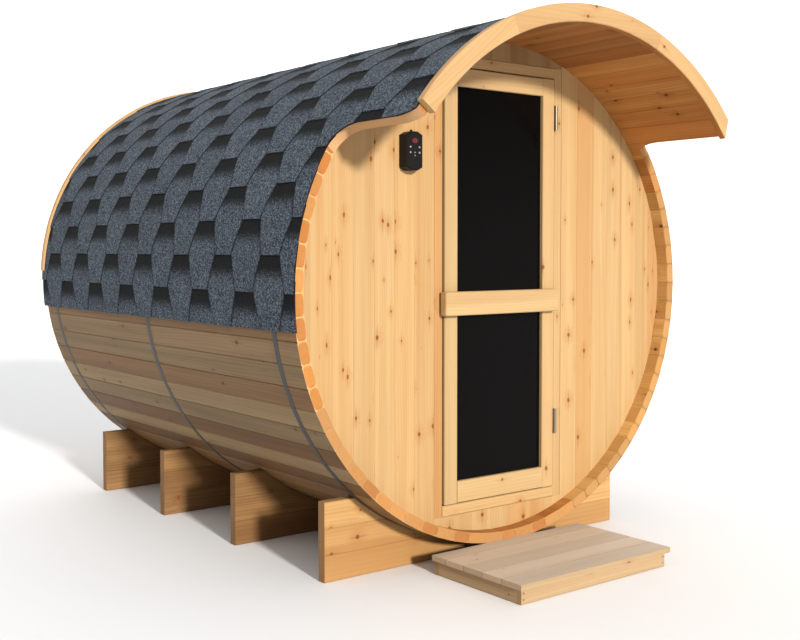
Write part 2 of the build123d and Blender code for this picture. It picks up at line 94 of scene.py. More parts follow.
@dataclass(frozen=True)
class Barrel:
    """Sizes of the barrel that several sub-assemblies share."""

    radius: float = 1.0
    stave_count: int = 74
    stave_thickness: float = 0.040
    croze_depth: float = 0.0097
    ring_y: float = field(default_factory=lambda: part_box("staves_floor")[0].y)
    rear_y: float = field(default_factory=lambda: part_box("staves_floor")[1].y)
    canopy_y: float = field(default_factory=lambda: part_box("staves_ridge")[0].y)
    fascia_back_y: float = field(default_factory=lambda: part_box("rear_fascia")[1].y)
    axis_z: float = field(default_factory=lambda: sum(corner.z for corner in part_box("hoops")) / 2)

    @property
    def pitch(self) -> float:
        """Angle from one stave to the next."""
        return 360 / self.stave_count

    @property
    def outer_flat(self) -> float:
        """Distance of a stave's outer face from the axis."""
        return self.radius * math.cos(math.radians(self.pitch / 2))

    @property
    def inner_flat(self) -> float:
        """Distance of a stave's inner face from the axis."""
        return self.outer_flat - self.stave_thickness

    @property
    def wall_radius(self) -> float:
        """Radius of the end walls, whose rims sit in the staves' grooves."""
        return self.inner_flat + self.croze_depth

    def around(self, radius: Array, angle: Array, depth: Array) -> Array:
        """Points on circles about the axis: x = r sin(angle), y = depth, z = axis + r cos(angle).

        Args:
            radius: Distances from the axis.
            angle: Angles from the top.
            depth: Places along the barrel.

        Returns:
            The points, with their three coordinates on the last axis.
        """
        radius, angle, depth = np.broadcast_arrays(radius, np.radians(angle), depth)
        return np.stack([radius * np.sin(angle), depth, self.axis_z + radius * np.cos(angle)], axis=-1)


BARREL = Barrel()


class Graph:
    """A material's node tree, with short calls for the nodes that the finishes use."""

    def __init__(self, name: str) -> None:
        """Start a material with a principled shader joined to its output.

        Args:
            name: The material's name.
        """
        self.material = bpy.data.materials.new(name)
        self.material.use_nodes = True
        self.tree = self.material.node_tree
        self.tree.nodes.clear()
        output = self.tree.nodes.new("ShaderNodeOutputMaterial")
        self.shader = self.tree.nodes.new("ShaderNodeBsdfPrincipled")
        self.tree.links.new(self.shader.outputs["BSDF"], output.inputs["Surface"])

    def feed(self, socket: Socket, value: Value) -> None:
        """Link a socket to another one, or set its number or colour.

        Args:
            socket: The input to fill.
            value: What goes in, or None to leave it as it is.
        """
        if isinstance(value, Socket):
            self.tree.links.new(value, socket)
        elif value is not None:
            socket.default_value = value

    def math(self, operation: str, *values: Value) -> Socket:
        """The result of a math operation.

        Args:
            operation: The node's operation.
            values: Its one, two or three values.

        Returns:
            The result.
        """
        node = self.tree.nodes.new("ShaderNodeMath")
        node.operation = operation
        for socket, value in zip(node.inputs, values):
            self.feed(socket, value)
        return node.outputs[0]

    def ease(self, value: Value, low: Value, high: Value) -> Socket:
        """A smooth step from 0 at low to 1 at high.

        Args:
            value: The value to step on.
            low: Where the step starts; it may be the larger one.
            high: Where it ends.

        Returns:
            The step.
        """
        node = self.tree.nodes.new("ShaderNodeMapRange")
        node.interpolation_type = "SMOOTHSTEP"
        self.feed(node.inputs["Value"], value)
        self.feed(node.inputs["From Min"], low)
        self.feed(node.inputs["From Max"], high)
        return node.outputs["Result"]

    def vector(self, x: Value, y: Value, z: Value) -> Socket:
        """A vector put together from three values.

        Args:
            x: The first value.
            y: The second value.
            z: The third value.

        Returns:
            The vector.
        """
        node = self.tree.nodes.new("ShaderNodeCombineXYZ")
        for socket, value in zip(node.inputs, (x, y, z)):
            self.feed(socket, value)
        return node.outputs[0]

    def parts(self, vector: Socket) -> tuple[Socket, ...]:
        """The three values of a vector.

        Args:
            vector: The vector.

        Returns:
            Its values.
        """
        node = self.tree.nodes.new("ShaderNodeSeparateXYZ")
        self.feed(node.inputs[0], vector)
        return tuple(node.outputs)

    def noise(self, vector: Socket, scale: float, detail: float) -> Socket:
        """Soft noise from 0 to 1.

        Args:
            vector: The point.
            scale: How fine the noise is.
            detail: How many finer layers it has.

        Returns:
            The noise.
        """
        node = self.tree.nodes.new("ShaderNodeTexNoise")
        self.feed(node.inputs["Vector"], vector)
        node.inputs["Scale"].default_value = scale
        node.inputs["Detail"].default_value = detail
        return node.outputs["Fac"]

    def cells(self, vector: Socket, scale: float) -> Socket:
        """A steady random number for each cell of a scattered pattern.

        Args:
            vector: The point.
            scale: How fine the cells are.

        Returns:
            The number.
        """
        node = self.tree.nodes.new("ShaderNodeTexVoronoi")
        self.feed(node.inputs["Vector"], vector)
        node.inputs["Scale"].default_value = scale
        return self.parts(node.outputs["Color"])[0]

    def chance(self, value: Socket) -> tuple[Socket, ...]:
        """Three steady random numbers for a whole number.

        Args:
            value: The number, half way to the next one.

        Returns:
            The random numbers.
        """
        node = self.tree.nodes.new("ShaderNodeTexWhiteNoise")
        node.noise_dimensions = "1D"
        self.feed(node.inputs["W"], value)
        return self.parts(node.outputs["Color"])

    def mix(self, factor: Value, first: Value, second: Value, blend: str = "MIX") -> Socket:
        """One colour laid over another.

        Args:
            factor: How much of the second colour shows.
            first: The colour below.
            second: The colour on top.
            blend: The way they are put together.

        Returns:
            The colour.
        """
        node = self.tree.nodes.new("ShaderNodeMix")
        node.data_type = "RGBA"
        node.blend_type = blend
        node.clamp_factor = True
        self.feed(node.inputs["Factor"], factor)
        self.feed([s for s in node.inputs if s.identifier == "A_Color"][0], first)
        self.feed([s for s in node.inputs if s.identifier == "B_Color"][0], second)
        return [s for s in node.outputs if s.identifier == "Result_Color"][0]

    def dimmed(self, colour: Value, level: Socket) -> Socket:
        """A colour times a grey level."""
        return self.mix(1.0, colour, self.vector(level, level, level), "MULTIPLY")

    def bump(self, height: Socket, depth: float) -> None:
        """Raise the surface by a height from 0 to 1.

        Args:
            height: The height.
            depth: The distance that a height of 1 stands for.
        """
        node = self.tree.nodes.new("ShaderNodeBump")
        node.inputs["Strength"].default_value = 1.0
        node.inputs["Distance"].default_value = depth
        self.feed(node.inputs["Height"], height)
        self.feed(self.shader.inputs["Normal"], node.outputs["Normal"])

    def place(self) -> tuple[Socket, ...]:
        """The three object coordinates of a point."""
        return self.parts(self.tree.nodes.new("ShaderNodeTexCoord").outputs["Object"])

    def grain_map(self) -> tuple[Socket, Socket]:
        """The two values of the grain map at a point.

        Returns:
            The board's number with the place along it, and the place across it.
        """
        node = self.tree.nodes.new("ShaderNodeUVMap")
        node.uv_map = GRAIN_MAP
        first, second, _ = self.parts(node.outputs["UV"])
        return first, second


@dataclass(frozen=True)
class PineFinish:
    """Planed pine: streaks and growth lines along each board, knots, and a tone of its own per board."""

    name: str
    light: Colour
    dark: Colour
    warm: Colour
    end: Colour
    knot: Colour = tint(112, 56, 22)
    sawn: Colour | None = None
    weathered: Colour | None = None
    reddish: Colour = tint(146, 104, 70)
    outside: tuple[float, float] = (0.010, 0.172)
    heart_half: tuple[float, float] = (0.0403, 0.0198)
    lines_per_metre: float = 75.0
    knot_steps: tuple[float, float] = (0.25, 0.085)
    rim: Colour | None = None
    fade: float = 0.6
    spread: float = 0.10
    knots: float = 1.0
    roughness: float = 0.62

    @lru_cache
    def material(self) -> bpy.types.Material:
        """Make the material once.

        The grain map gives each board its number, the place along it and the place across it.
        Growth lines are the level lines of a height that rises across the board, wanders along it
        and peaks at knots, so the lines bend round them. A knot is the nearest scattered point
        that lies close to the board's own slice of space.

        Returns:
            The material.
        """
        graph = Graph(self.name)
        first, across = graph.grain_map()
        board = graph.math("FLOOR", graph.math("DIVIDE", first, BOARD_SPAN))
        local = graph.math("SUBTRACT", first, graph.math("MULTIPLY", board, BOARD_SPAN))
        tone, warmth, shift = graph.chance(graph.math("ADD", board, 0.5))
        along = graph.math("MULTIPLY_ADD", shift, 37.0, local)
        slice_place = graph.math("MULTIPLY", board, 5.3)

        knot, halo = self.knot_masks(graph, along, across, slice_place)
        place = (along, across, slice_place)
        wander = self.drawn_out(graph, place, 0.8, 6.0, 2.0)
        height = graph.math("MULTIPLY_ADD", wander, 5.0, graph.math("MULTIPLY", across, self.lines_per_metre))
        height = graph.math("MULTIPLY_ADD", halo, 2.5, height)
        lines = graph.math("SINE", graph.math("MULTIPLY", height, 6.2832))
        lines = graph.math("POWER", graph.math("MULTIPLY_ADD", lines, 0.5, 0.5), 2.0)
        streak = self.drawn_out(graph, place, 0.9, 24.0, 3.0)
        fibre = self.drawn_out(graph, place, 9.0, 260.0, 2.0)
        heart = self.drawn_out(graph, place, 0.3, 13.0, 1.0)
        depth = graph.math("MULTIPLY", lines, 0.25)
        depth = graph.math("MULTIPLY_ADD", graph.ease(streak, 0.25, 0.75), 0.55, depth)
        depth = graph.math("MULTIPLY_ADD", fibre, 0.2, depth)
        face = graph.mix(depth, self.light, self.dark)
        face = graph.mix(graph.math("MULTIPLY", graph.ease(warmth, 0.35, 1.0), 0.5), face, self.warm)
        face = graph.mix(graph.math("MULTIPLY", graph.ease(heart, 0.57, 0.70), 0.5), face, self.warm)
        face = graph.mix(graph.math("MULTIPLY", halo, 0.45), face, self.warm)
        if self.weathered:
            face = graph.mix(self.outer_mask(graph, across), face, self.grey(graph, depth, warmth, shift))
        face = graph.mix(graph.math("MULTIPLY", knot, 0.9), face, self.knot)

        speck = graph.noise(graph.vector(*graph.place()), 70.0, 3.0)
        sawn = graph.mix(graph.math("MULTIPLY", speck, 0.5), self.end, self.dark)
        if self.rim:
            sawn = self.ring_ends(graph, sawn)
        sawn = graph.mix(graph.math("GREATER_THAN", across, END_OFFSET + 1), sawn, self.sawn or self.light)
        is_end = graph.math("GREATER_THAN", across, END_OFFSET - 1)
        colour = graph.mix(is_end, face, sawn)
        level = graph.math("MULTIPLY_ADD", tone, 2 * self.spread, 1 - self.spread)
        graph.feed(graph.shader.inputs["Base Color"], graph.dimmed(colour, level))
        graph.shader.inputs["Roughness"].default_value = self.roughness
        graph.shader.inputs["Specular IOR Level"].default_value = 0.3
        graph.bump(graph.math("SUBTRACT", 1.0, depth), 0.0004)
        return graph.material

    @staticmethod
    def drawn_out(
        graph: Graph, place: tuple[Value, Value, Value], lengthwise: float, crosswise: float, detail: float
    ) -> Socket:
        """Noise that is drawn out along a board.

        Args:
            graph: The material's nodes.
            place: Place along the board and across it, and its own slice of the noise.
            lengthwise: How fine the noise is along the board.
            crosswise: How fine it is across the board.
            detail: How many finer layers it has.

        Returns:
            The noise.
        """
        along = graph.math("MULTIPLY", place[0], lengthwise)
        across = graph.math("MULTIPLY", place[1], crosswise)
        return graph.noise(graph.vector(along, across, place[2]), 1.0, detail)

    def outer_mask(self, graph: Graph, across: Value) -> Socket:
        """A mask of the weathered outer face and its two bevels.

        Args:
            graph: The material's nodes.
            across: Place round the board's profile.

        Returns:
            The mask.
        """
        start = graph.math("LESS_THAN", across, self.outside[0])
        finish = graph.math("GREATER_THAN", across, self.outside[1])
        return graph.math("MULTIPLY", graph.math("MAXIMUM", start, finish), 0.88)

    def grey(self, graph: Graph, depth: Value, warmth: Value, shift: Value) -> Socket:
        """The weathered colour: greyish or reddish by board, darker along the grain.

        Args:
            graph: The material's nodes.
            depth: How dark the grain is.
            warmth: The board's own warmth.
            shift: The board's own random number, for its tone.

        Returns:
            The colour.
        """
        colour = graph.mix(graph.ease(warmth, 0.3, 0.95), self.weathered, self.reddish)
        shade = graph.mix(depth, (1.0, 1.0, 1.0, 1.0), (0.58, 0.55, 0.52, 1.0))
        level = graph.math("MULTIPLY_ADD", shift, 0.44, 0.74)
        return graph.mix(1.0, graph.dimmed(colour, level), shade, "MULTIPLY")

    def ring_ends(self, graph: Graph, sawn: Value) -> Socket:
        """The stave ends round the ring: each a heart with a rim of its own tone.

        The angle about the axis over the pitch gives the stave's number. The heart is inside the
        curve x^4 + y^4 = 1, with x and y the places along and across the end over half its size.

        Args:
            graph: The material's nodes.
            sawn: The colour of the hearts.

        Returns:
            The colour.
        """
        pitch = math.radians(BARREL.pitch)
        middle = (BARREL.outer_flat + BARREL.inner_flat) / 2
        x, _, z = graph.place()
        up = graph.math("SUBTRACT", z, BARREL.axis_z)
        number = graph.math("DIVIDE", graph.math("ARCTAN2", x, up), pitch)
        stave = graph.math("FLOOR", graph.math("ADD", number, 0.5))
        aside = graph.math("SUBTRACT", number, stave)
        aside = graph.math("MULTIPLY", aside, pitch * middle / self.heart_half[0])
        squares = graph.math("ADD", graph.math("MULTIPLY", x, x), graph.math("MULTIPLY", up, up))
        off = graph.math("SUBTRACT", graph.math("SQRT", squares), middle)
        off = graph.math("DIVIDE", off, self.heart_half[1])
        aside, off = graph.math("MULTIPLY", aside, aside), graph.math("MULTIPLY", off, off)
        total = graph.math("MULTIPLY_ADD", aside, aside, graph.math("MULTIPLY", off, off))
        warmth, tone, _ = graph.chance(graph.math("ADD", stave, 200.5))
        heart = graph.mix(graph.math("MULTIPLY", graph.ease(warmth, 0.2, 1.0), 0.55), sawn, self.warm)
        heart = graph.mix(graph.math("MULTIPLY", graph.ease(tone, 0.45, 1.0), self.fade), heart, self.rim)
        return graph.mix(graph.ease(total, 1.0, 0.76), self.rim, heart)

    def knot_masks(
        self, graph: Graph, along: Value, across: Value, slice_place: Value
    ) -> tuple[Socket, Socket]:
        """Masks of the knots and of the grain that bends round them.

        Args:
            graph: The material's nodes.
            along: Place along the board.
            across: Place across the board.
            slice_place: The board's own slice of the scattered points.

        Returns:
            The knot's mask and the softer mask round it.
        """
        along_step, across_step = self.knot_steps
        node = graph.tree.nodes.new("ShaderNodeTexVoronoi")
        node.inputs["Scale"].default_value = 1.0
        place = graph.vector(
            graph.math("DIVIDE", along, along_step), graph.math("DIVIDE", across, across_step), slice_place
        )
        graph.feed(node.inputs["Vector"], place)
        x, y, z = graph.parts(place)
        centre_x, centre_y, centre_z = graph.parts(node.outputs["Position"])
        length = graph.math("MULTIPLY", graph.math("SUBTRACT", x, centre_x), along_step * 0.85)
        width = graph.math("MULTIPLY", graph.math("SUBTRACT", y, centre_y), across_step)
        squares = graph.math("MULTIPLY_ADD", length, length, graph.math("MULTIPLY", width, width))
        rough = graph.noise(graph.vector(along, across, slice_place), 70.0, 2.0)
        rough = graph.math("MULTIPLY_ADD", rough, 0.9, 0.55)
        away = graph.math("MULTIPLY", graph.math("SQRT", squares), rough)
        off_slice = graph.math("ABSOLUTE", graph.math("SUBTRACT", z, centre_z))
        present = graph.ease(off_slice, 0.36, 0.05)
        size = graph.math("MULTIPLY_ADD", present, 0.0105 * self.knots, 0.00005)
        knot = graph.ease(away, size, graph.math("MULTIPLY", size, 0.5))
        halo = graph.ease(away, graph.math("MULTIPLY", size, 4.5), size)
        thin = graph.ease(graph.math("ABSOLUTE", width), 0.0045, 0.0)
        tail = graph.math("MULTIPLY", thin, graph.ease(graph.math("ABSOLUTE", length), 0.055, 0.008))
        tail = graph.math("MULTIPLY", graph.math("MULTIPLY", tail, present), 0.45 * min(self.knots, 1.0))
        return graph.math("MAXIMUM", knot, tail), halo


@dataclass(frozen=True)
class GranuleFinish:
    """Mineral granules on shingles, with the dark band printed along the upper half of each course."""

    name: str
    grey: Colour
    pale: Colour
    dark: Colour
    band_low: float
    band_high: float
    tab_low: float
    tab_high: float
    exposure: float

    @lru_cache
    def material(self) -> bpy.types.Material:
        """Make the material once: speckled grey, darkened by the height up the shingle.

        The grain map gives the place across each unit, from its middle, and the height. A tab's
        half width grows evenly with the height, and what is near that line is darkened: its dark cut
        edge with a painted shadow along it.

        Returns:
            The material.
        """
        graph = Graph(self.name)
        first, height = graph.grain_map()
        unit = graph.math("FLOOR", graph.math("DIVIDE", first, BOARD_SPAN))
        tone, _, _ = graph.chance(graph.math("ADD", unit, 0.5))
        place = graph.vector(first, height, 0.0)
        speck = graph.noise(place, 240.0, 3.0)
        grain = graph.cells(place, 250.0)
        cloud = graph.noise(place, 14.0, 2.0)
        wobble = graph.math("MULTIPLY_ADD", speck, 0.090, graph.math("ADD", height, -0.045))
        band = graph.ease(wobble, self.band_low, self.band_high)
        colour = graph.mix(graph.ease(grain, 0.25, 1.0), self.grey, self.pale)
        colour = graph.mix(graph.math("MULTIPLY", cloud, 0.35), colour, self.grey)
        colour = graph.mix(graph.math("MULTIPLY", band, 0.97), colour, self.dark)
        local = graph.math("SUBTRACT", first, graph.math("MULTIPLY_ADD", unit, BOARD_SPAN, BOARD_SPAN / 2))
        widening = (self.tab_high - self.tab_low) / 2 / self.exposure
        half = graph.math("MULTIPLY_ADD", height, widening, self.tab_low / 2)
        # Dark border along the tab's sides: the cut edge and a painted shadow beside it.
        edge = graph.ease(graph.math("SUBTRACT", half, graph.math("ABSOLUTE", local)), 0.0065, 0.0020)
        edge = graph.math("MULTIPLY", edge, graph.math("LESS_THAN", height, self.exposure))
        colour = graph.mix(graph.math("MULTIPLY", edge, 0.8), colour, self.dark)
        level = graph.math("MULTIPLY_ADD", tone, 0.16, 0.92)
        graph.feed(graph.shader.inputs["Base Color"], graph.dimmed(colour, level))
        graph.shader.inputs["Roughness"].default_value = 0.9
        graph.shader.inputs["Specular IOR Level"].default_value = 0.2
        graph.bump(grain, 0.0006)
        return graph.material


@dataclass(frozen=True)
class PlainFinish:
    """An even finish: steel, dark glass, plastic or a lit mark."""

    name: str
    colour: Colour
    roughness: float
    metallic: float = 0.0
    glow: float = 0.0
    mottle: float = 0.0
    specular: float = 0.5

    @lru_cache
    def material(self) -> bpy.types.Material:
        """Make the material once.

        Returns:
            The material.
        """
        graph = Graph(self.name)
        shader = graph.shader
        shader.inputs["Base Color"].default_value = self.colour
        shader.inputs["Roughness"].default_value = self.roughness
        shader.inputs["Metallic"].default_value = self.metallic
        shader.inputs["Specular IOR Level"].default_value = self.specular
        if self.mottle:
            place = graph.tree.nodes.new("ShaderNodeTexCoord").outputs["Object"]
            cloud = graph.noise(place, 22.0, 3.0)
            level = graph.math("MULTIPLY_ADD", cloud, 2 * self.mottle, 1 - self.mottle)
            graph.feed(shader.inputs["Base Color"], graph.dimmed(self.colour, level))
        if self.glow:
            shader.inputs["Emission Color"].default_value = self.colour
            shader.inputs["Emission Strength"].default_value = self.glow
        return graph.material


STAVE_PINE = PineFinish(
    "stave_pine",
    light=tint(182, 124, 62),
    dark=tint(134, 76, 27),
    warm=tint(146, 80, 26),
    end=tint(184, 127, 63),
    knot=tint(76, 44, 22),
    sawn=tint(178, 138, 96),
    weathered=tint(146, 125, 90),
    reddish=tint(122, 90, 56),
    rim=tint(192, 150, 97),
    fade=0.2,
)
STAVE_LOW = replace(STAVE_PINE, name="stave_low", end=tint(180, 132, 76), rim=tint(168, 126, 78), fade=0.6)
# Lit copy of the stave pine for the right staves: paler faces that paint in the sunlight on the right ring.
STAVE_SUNLIT_COPY = replace(
    STAVE_PINE,
    name="stave_painted_light",
    light=tint(214, 172, 108),
    dark=tint(180, 134, 75),
    warm=tint(176, 124, 64),
    end=tint(168, 126, 75),
    rim=tint(140, 100, 58),
    fade=0.3,
)
# Shaded copy of the stave pine for the canopy's staves: a warmer tone with the shade under the canopy painted
# in as darker faces.
STAVE_CANOPY_SHADED = replace(
    STAVE_PINE,
    name="stave_canopy_painted_shade",
    light=tint(190, 134, 70),
    dark=tint(146, 88, 36),
    warm=tint(158, 92, 36),
    end=tint(168, 126, 75),
    rim=tint(140, 100, 58),
    knot=tint(76, 38, 16),
    fade=0.3,
)
# Darker again for the ridge staves: painted shade, deepest at the top of the canopy's underside.
STAVE_RIDGE_SHADED = replace(
    STAVE_CANOPY_SHADED, name="stave_ridge_painted_shade", light=tint(162, 108, 52), dark=tint(118, 65, 22), warm=tint(126, 66, 20)
)
# Darker pine for the fascia's underside: painted shade that matches the shaded canopy underside.
UNDERSIDE_SHADE_PINE = replace(STAVE_PINE, name="fascia_underside_painted_shade", weathered=None, rim=None)
WALL_PINE = PineFinish(
    "wall_pine", tint(185, 154, 108), tint(166, 130, 84), tint(166, 119, 68), tint(160, 122, 77), spread=0.05
)
# Darker copy of the wall pine for the field over the door: painted shade under the canopy.
WALL_SHADED_OVER_DOOR = replace(
    WALL_PINE, name="wall_painted_shade", light=tint(152, 122, 82), dark=tint(132, 100, 62), warm=tint(132, 92, 50)
)
FRAME_PINE = PineFinish(
    "frame_pine", tint(182, 138, 88), tint(160, 114, 66), tint(152, 98, 50), tint(158, 112, 66)
)
FRAME_PALE = replace(WALL_PINE, name="frame_pale", knots=0.7)
DOOR_PINE = PineFinish(
    "door_pine", tint(185, 157, 112), tint(166, 136, 93), tint(172, 136, 91), tint(162, 128, 84)
)
FASCIA_PINE = PineFinish(
    "fascia_pine", tint(188, 153, 107), tint(169, 131, 86), tint(172, 132, 86), tint(136, 94, 54)
)
CRADLE_PINE = PineFinish(
    "cradle_pine", tint(198, 158, 103), tint(168, 126, 75), tint(160, 114, 63), tint(140, 100, 60)
)
# Darker copy of the cradle pine for the three rear cradles: painted shade.
CRADLE_SHADED = replace(
    CRADLE_PINE, name="cradle_painted_shade", light=tint(148, 113, 69), dark=tint(104, 72, 40), warm=tint(116, 76, 40)
)
FLOOR_PINE = PineFinish(
    "floor_pine", tint(188, 155, 110), tint(168, 131, 85), tint(170, 131, 84), tint(166, 127, 82)
)
DECK_PINE = PineFinish(
    "deck_pine", tint(203, 189, 173), tint(185, 168, 149), tint(189, 169, 148), tint(168, 142, 110), knots=0.5
)
STEP_PINE = PineFinish(
    "step_pine", tint(178, 153, 119), tint(158, 131, 96), tint(161, 130, 90), tint(150, 116, 76)
)
SHINGLE = GranuleFinish(
    "shingle",
    grey=tint(42, 48, 56),
    pale=tint(110, 120, 132),
    dark=tint(9, 9, 10),
    band_low=0.164,
    band_high=0.218,
    tab_low=0.125,
    tab_high=0.210,
    exposure=0.131,
)
RIDGE_SHINGLE = replace(
    SHINGLE,
    name="ridge_shingle",
    band_low=0.9 * BOARD_SPAN,
    band_high=BOARD_SPAN,
    tab_low=BOARD_SPAN,
    tab_high=BOARD_SPAN,
)
HOOP_STEEL = PlainFinish("hoop_steel", tint(66, 65, 65), 0.5, metallic=0.4, mottle=0.15)
HINGE_STEEL = PlainFinish("hinge_steel", tint(140, 132, 120), 0.35, metallic=1.0)
NAIL_STEEL = PlainFinish("nail_steel", tint(110, 95, 76), 0.5, metallic=0.7)
DARK_GLASS = PlainFinish("dark_glass", tint(8, 7, 7), 0.05, specular=0.05)
CONTROL_BLACK = PlainFinish("control_plastic", tint(11, 10, 9), 0.5, specular=0.2)
KEYPAD_BLACK = PlainFinish("keypad_plastic", tint(15, 14, 14), 0.35, specular=0.25)
KEY_WHITE = PlainFinish("key_white", tint(140, 136, 132), 0.4)
DISPLAY_RED = PlainFinish("display_red", tint(92, 18, 24), 0.4, glow=0.06)
FLOOR_PALE = PlainFinish("floor_pale", tint(236, 237, 239), 0.9)
BEARER_PINE = PlainFinish("bearer_pine", tint(172, 130, 84), 0.65, mottle=0.12)


class Boards:
    """Gathers boards, each a profile carried along a path, into one mesh with a grain map."""

    def __init__(self, name: str, first: int = 0) -> None:
        """Start an empty mesh.

        Args:
            name: The piece's name.
            first: The number of its first board, which gives the boards their own tones.
        """
        self.name = name
        self.count = first
        self.points: list[Array] = []
        self.faces: list[list[int]] = []
        self.maps: list[Array] = []
        self.size = 0

    def add(self, sections: Array, chart: Array | None = None) -> "Boards":
        """Add boards whose cross-sections are given at stations along them.

        Neighbouring points of neighbouring stations make a quad, and the first and last sections
        close the ends. Boards that come out inside out have their profiles reversed. Without a
        chart, the grain map is the place along the straight line from end to end and the distance
        round the profile, and the ends are mapped in their own plane beyond END_OFFSET.

        Args:
            sections: Points as boards, stations, profile points and three coordinates.
            chart: The grain map's two values for each point, if they aren't worked out here.

        Returns:
            This object.
        """
        sections = np.array(sections, float)
        turned = self.inside_out(sections)
        sections[turned] = sections[turned, :, ::-1]
        if chart is not None:
            chart = np.array(np.broadcast_to(chart, sections.shape[:3] + (2,)), float)
            chart[turned] = chart[turned, :, ::-1]
        boards, stations, rim = sections.shape[:3]
        index = self.size + np.arange(boards * stations * rim).reshape(boards, stations, rim)
        following = np.roll(index, -1, axis=2)
        quads = np.stack([index[:, :-1], following[:, :-1], following[:, 1:], index[:, 1:]], axis=-1)
        ends = np.stack([index[:, 0, ::-1], index[:, -1]], axis=1)
        self.faces += quads.reshape(-1, 4).tolist() + ends.reshape(-1, rim).tolist()
        numbers = BOARD_SPAN * (self.count + np.arange(boards))
        side_map, end_map = self.charted(chart) if chart is not None else self.measured(sections)
        side_map[..., 0] += numbers[:, None, None]
        end_map[..., 0] += numbers[:, None]
        self.maps += [side_map.reshape(-1, 2), end_map.reshape(-1, 2)]
        self.points.append(sections.reshape(-1, 3))
        self.size += boards * stations * rim
        self.count += boards
        return self

    @staticmethod
    def inside_out(sections: Array) -> Array:
        """Which boards enclose a negative volume, from the sum of a·(b×c) over their triangles.

        Args:
            sections: Points as boards, stations, profile points and three coordinates.

        Returns:
            A truth value per board.
        """
        near, far = sections[:, :-1], sections[:, 1:]
        near_next, far_next = np.roll(near, -1, axis=2), np.roll(far, -1, axis=2)
        sides = near * np.cross(near_next, far_next) + near * np.cross(far_next, far)
        fans = []
        for cap, sign in ((sections[:, 0], -1), (sections[:, -1], 1)):
            fan = cap[:, :1] * np.cross(cap[:, 1:-1], cap[:, 2:])
            fans.append(sign * fan.sum(axis=(1, 2)))
        return sides.sum(axis=(1, 2, 3)) + fans[0] + fans[1] < 0

    @staticmethod
    def charted(chart: Array) -> tuple[Array, Array]:
        """The grain map of the sides and ends, from its values at each point.

        Args:
            chart: The map's two values as boards, stations, profile points and two.

        Returns:
            The map at the corners of the side quads and of the ends.
        """
        following = np.roll(chart, -1, axis=2)
        sides = np.stack([chart[:, :-1], following[:, :-1], following[:, 1:], chart[:, 1:]], axis=-2)
        ends = np.stack([chart[:, 0, ::-1], chart[:, -1]], axis=1)
        return sides.reshape(len(chart), -1, 4, 2), ends.reshape(len(chart), -1, 2)

    @staticmethod
    def measured(sections: Array) -> tuple[Array, Array]:
        """The grain map of straight boards, from the place along them and round their profiles.

        Args:
            sections: Points as boards, stations, profile points and three coordinates.

        Returns:
            The map at the corners of the side quads and of the ends.
        """
        boards, stations = sections.shape[:2]
        path = sections[:, -1].mean(axis=1) - sections[:, 0].mean(axis=1)
        path /= np.linalg.norm(path, axis=-1, keepdims=True)
        along = np.einsum("bsrk,bk->bsr", sections, path)
        along -= along.min(axis=(1, 2), keepdims=True)
        widest = sections[:, stations // 2]
        steps = np.linalg.norm(np.roll(widest, -1, axis=1) - widest, axis=-1)
        across = np.concatenate([np.zeros((boards, 1)), np.cumsum(steps, axis=1)], axis=1)
        start = np.stack([along, np.repeat(across[:, None, :-1], stations, axis=1)], axis=-1)
        following = np.roll(along, -1, axis=2)
        close = np.stack([following, np.repeat(across[:, None, 1:], stations, axis=1)], axis=-1)
        sides = np.stack([start[:, :-1], close[:, :-1], close[:, 1:], start[:, 1:]], axis=-2)
        spread = widest - widest.mean(axis=1, keepdims=True)
        first_axis = np.linalg.eigh(np.einsum("brk,brl->bkl", spread, spread))[1][:, :, 2]
        first_axis = first_axis * np.sign(np.einsum("bk,bk->b", spread[:, 0], first_axis))[:, None]
        second_axis = np.cross(path, first_axis)
        caps = np.stack([sections[:, 0, ::-1], sections[:, -1]], axis=1)
        ends = np.stack(
            [np.einsum("berk,bk->ber", caps, axis) for axis in (first_axis, second_axis)], axis=-1
        )
        ends -= ends.min(axis=(1, 2), keepdims=True)
        ends[..., 1] += END_OFFSET
        return sides.reshape(boards, -1, 4, 2), ends.reshape(boards, -1, 2)

    def mesh_object(self) -> bpy.types.Object:
        """Make the gathered boards an object at the origin.

        Returns:
            The object.
        """
        mesh = bpy.data.meshes.new(self.name)
        mesh.from_pydata(np.concatenate(self.points).tolist(), [], self.faces)
        layer = mesh.uv_layers.new(name=GRAIN_MAP)
        layer.data.foreach_set("uv", np.concatenate(self.maps).astype(np.float32).ravel())
        piece = bpy.data.objects.new(self.name, mesh)
        bpy.context.scene.collection.objects.link(piece)
        return piece


def dress(
    piece: bpy.types.Object,
    finish: PineFinish | GranuleFinish | PlainFinish,
    nodes: tuple[str, ...] = (),
    body: str = "root",
) -> bpy.types.Object:
    """Give a new piece its finish, its body and the nodes that it stands for.

    Args:
        piece: The new piece.
        finish: Its finish.
        nodes: The nodes that it replaces.
        body: The body that it rides on.

    Returns:
        The piece.
    """
    piece.data.materials.clear()
    piece.data.materials.append(finish.material())
    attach(piece, body)
    if nodes:
        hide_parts(*nodes)
    log.info("%s: %d faces on %s", piece.name, len(piece.data.polygons), body)
    return piece


def corners(node: str) -> tuple[Array, Array]:
    """Lowest and highest corner of a node's box."""
    low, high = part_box(node)
    return np.array(low), np.array(high)


def dress_node(name: str, finish: PlainFinish) -> None:
    """Give a node that is shown as it is a better finish.

    Args:
        name: The node.
        finish: Its finish.
    """
    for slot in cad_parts[name].material_slots:
        slot.material = finish.material()
    log.info("%s keeps its solid", name)


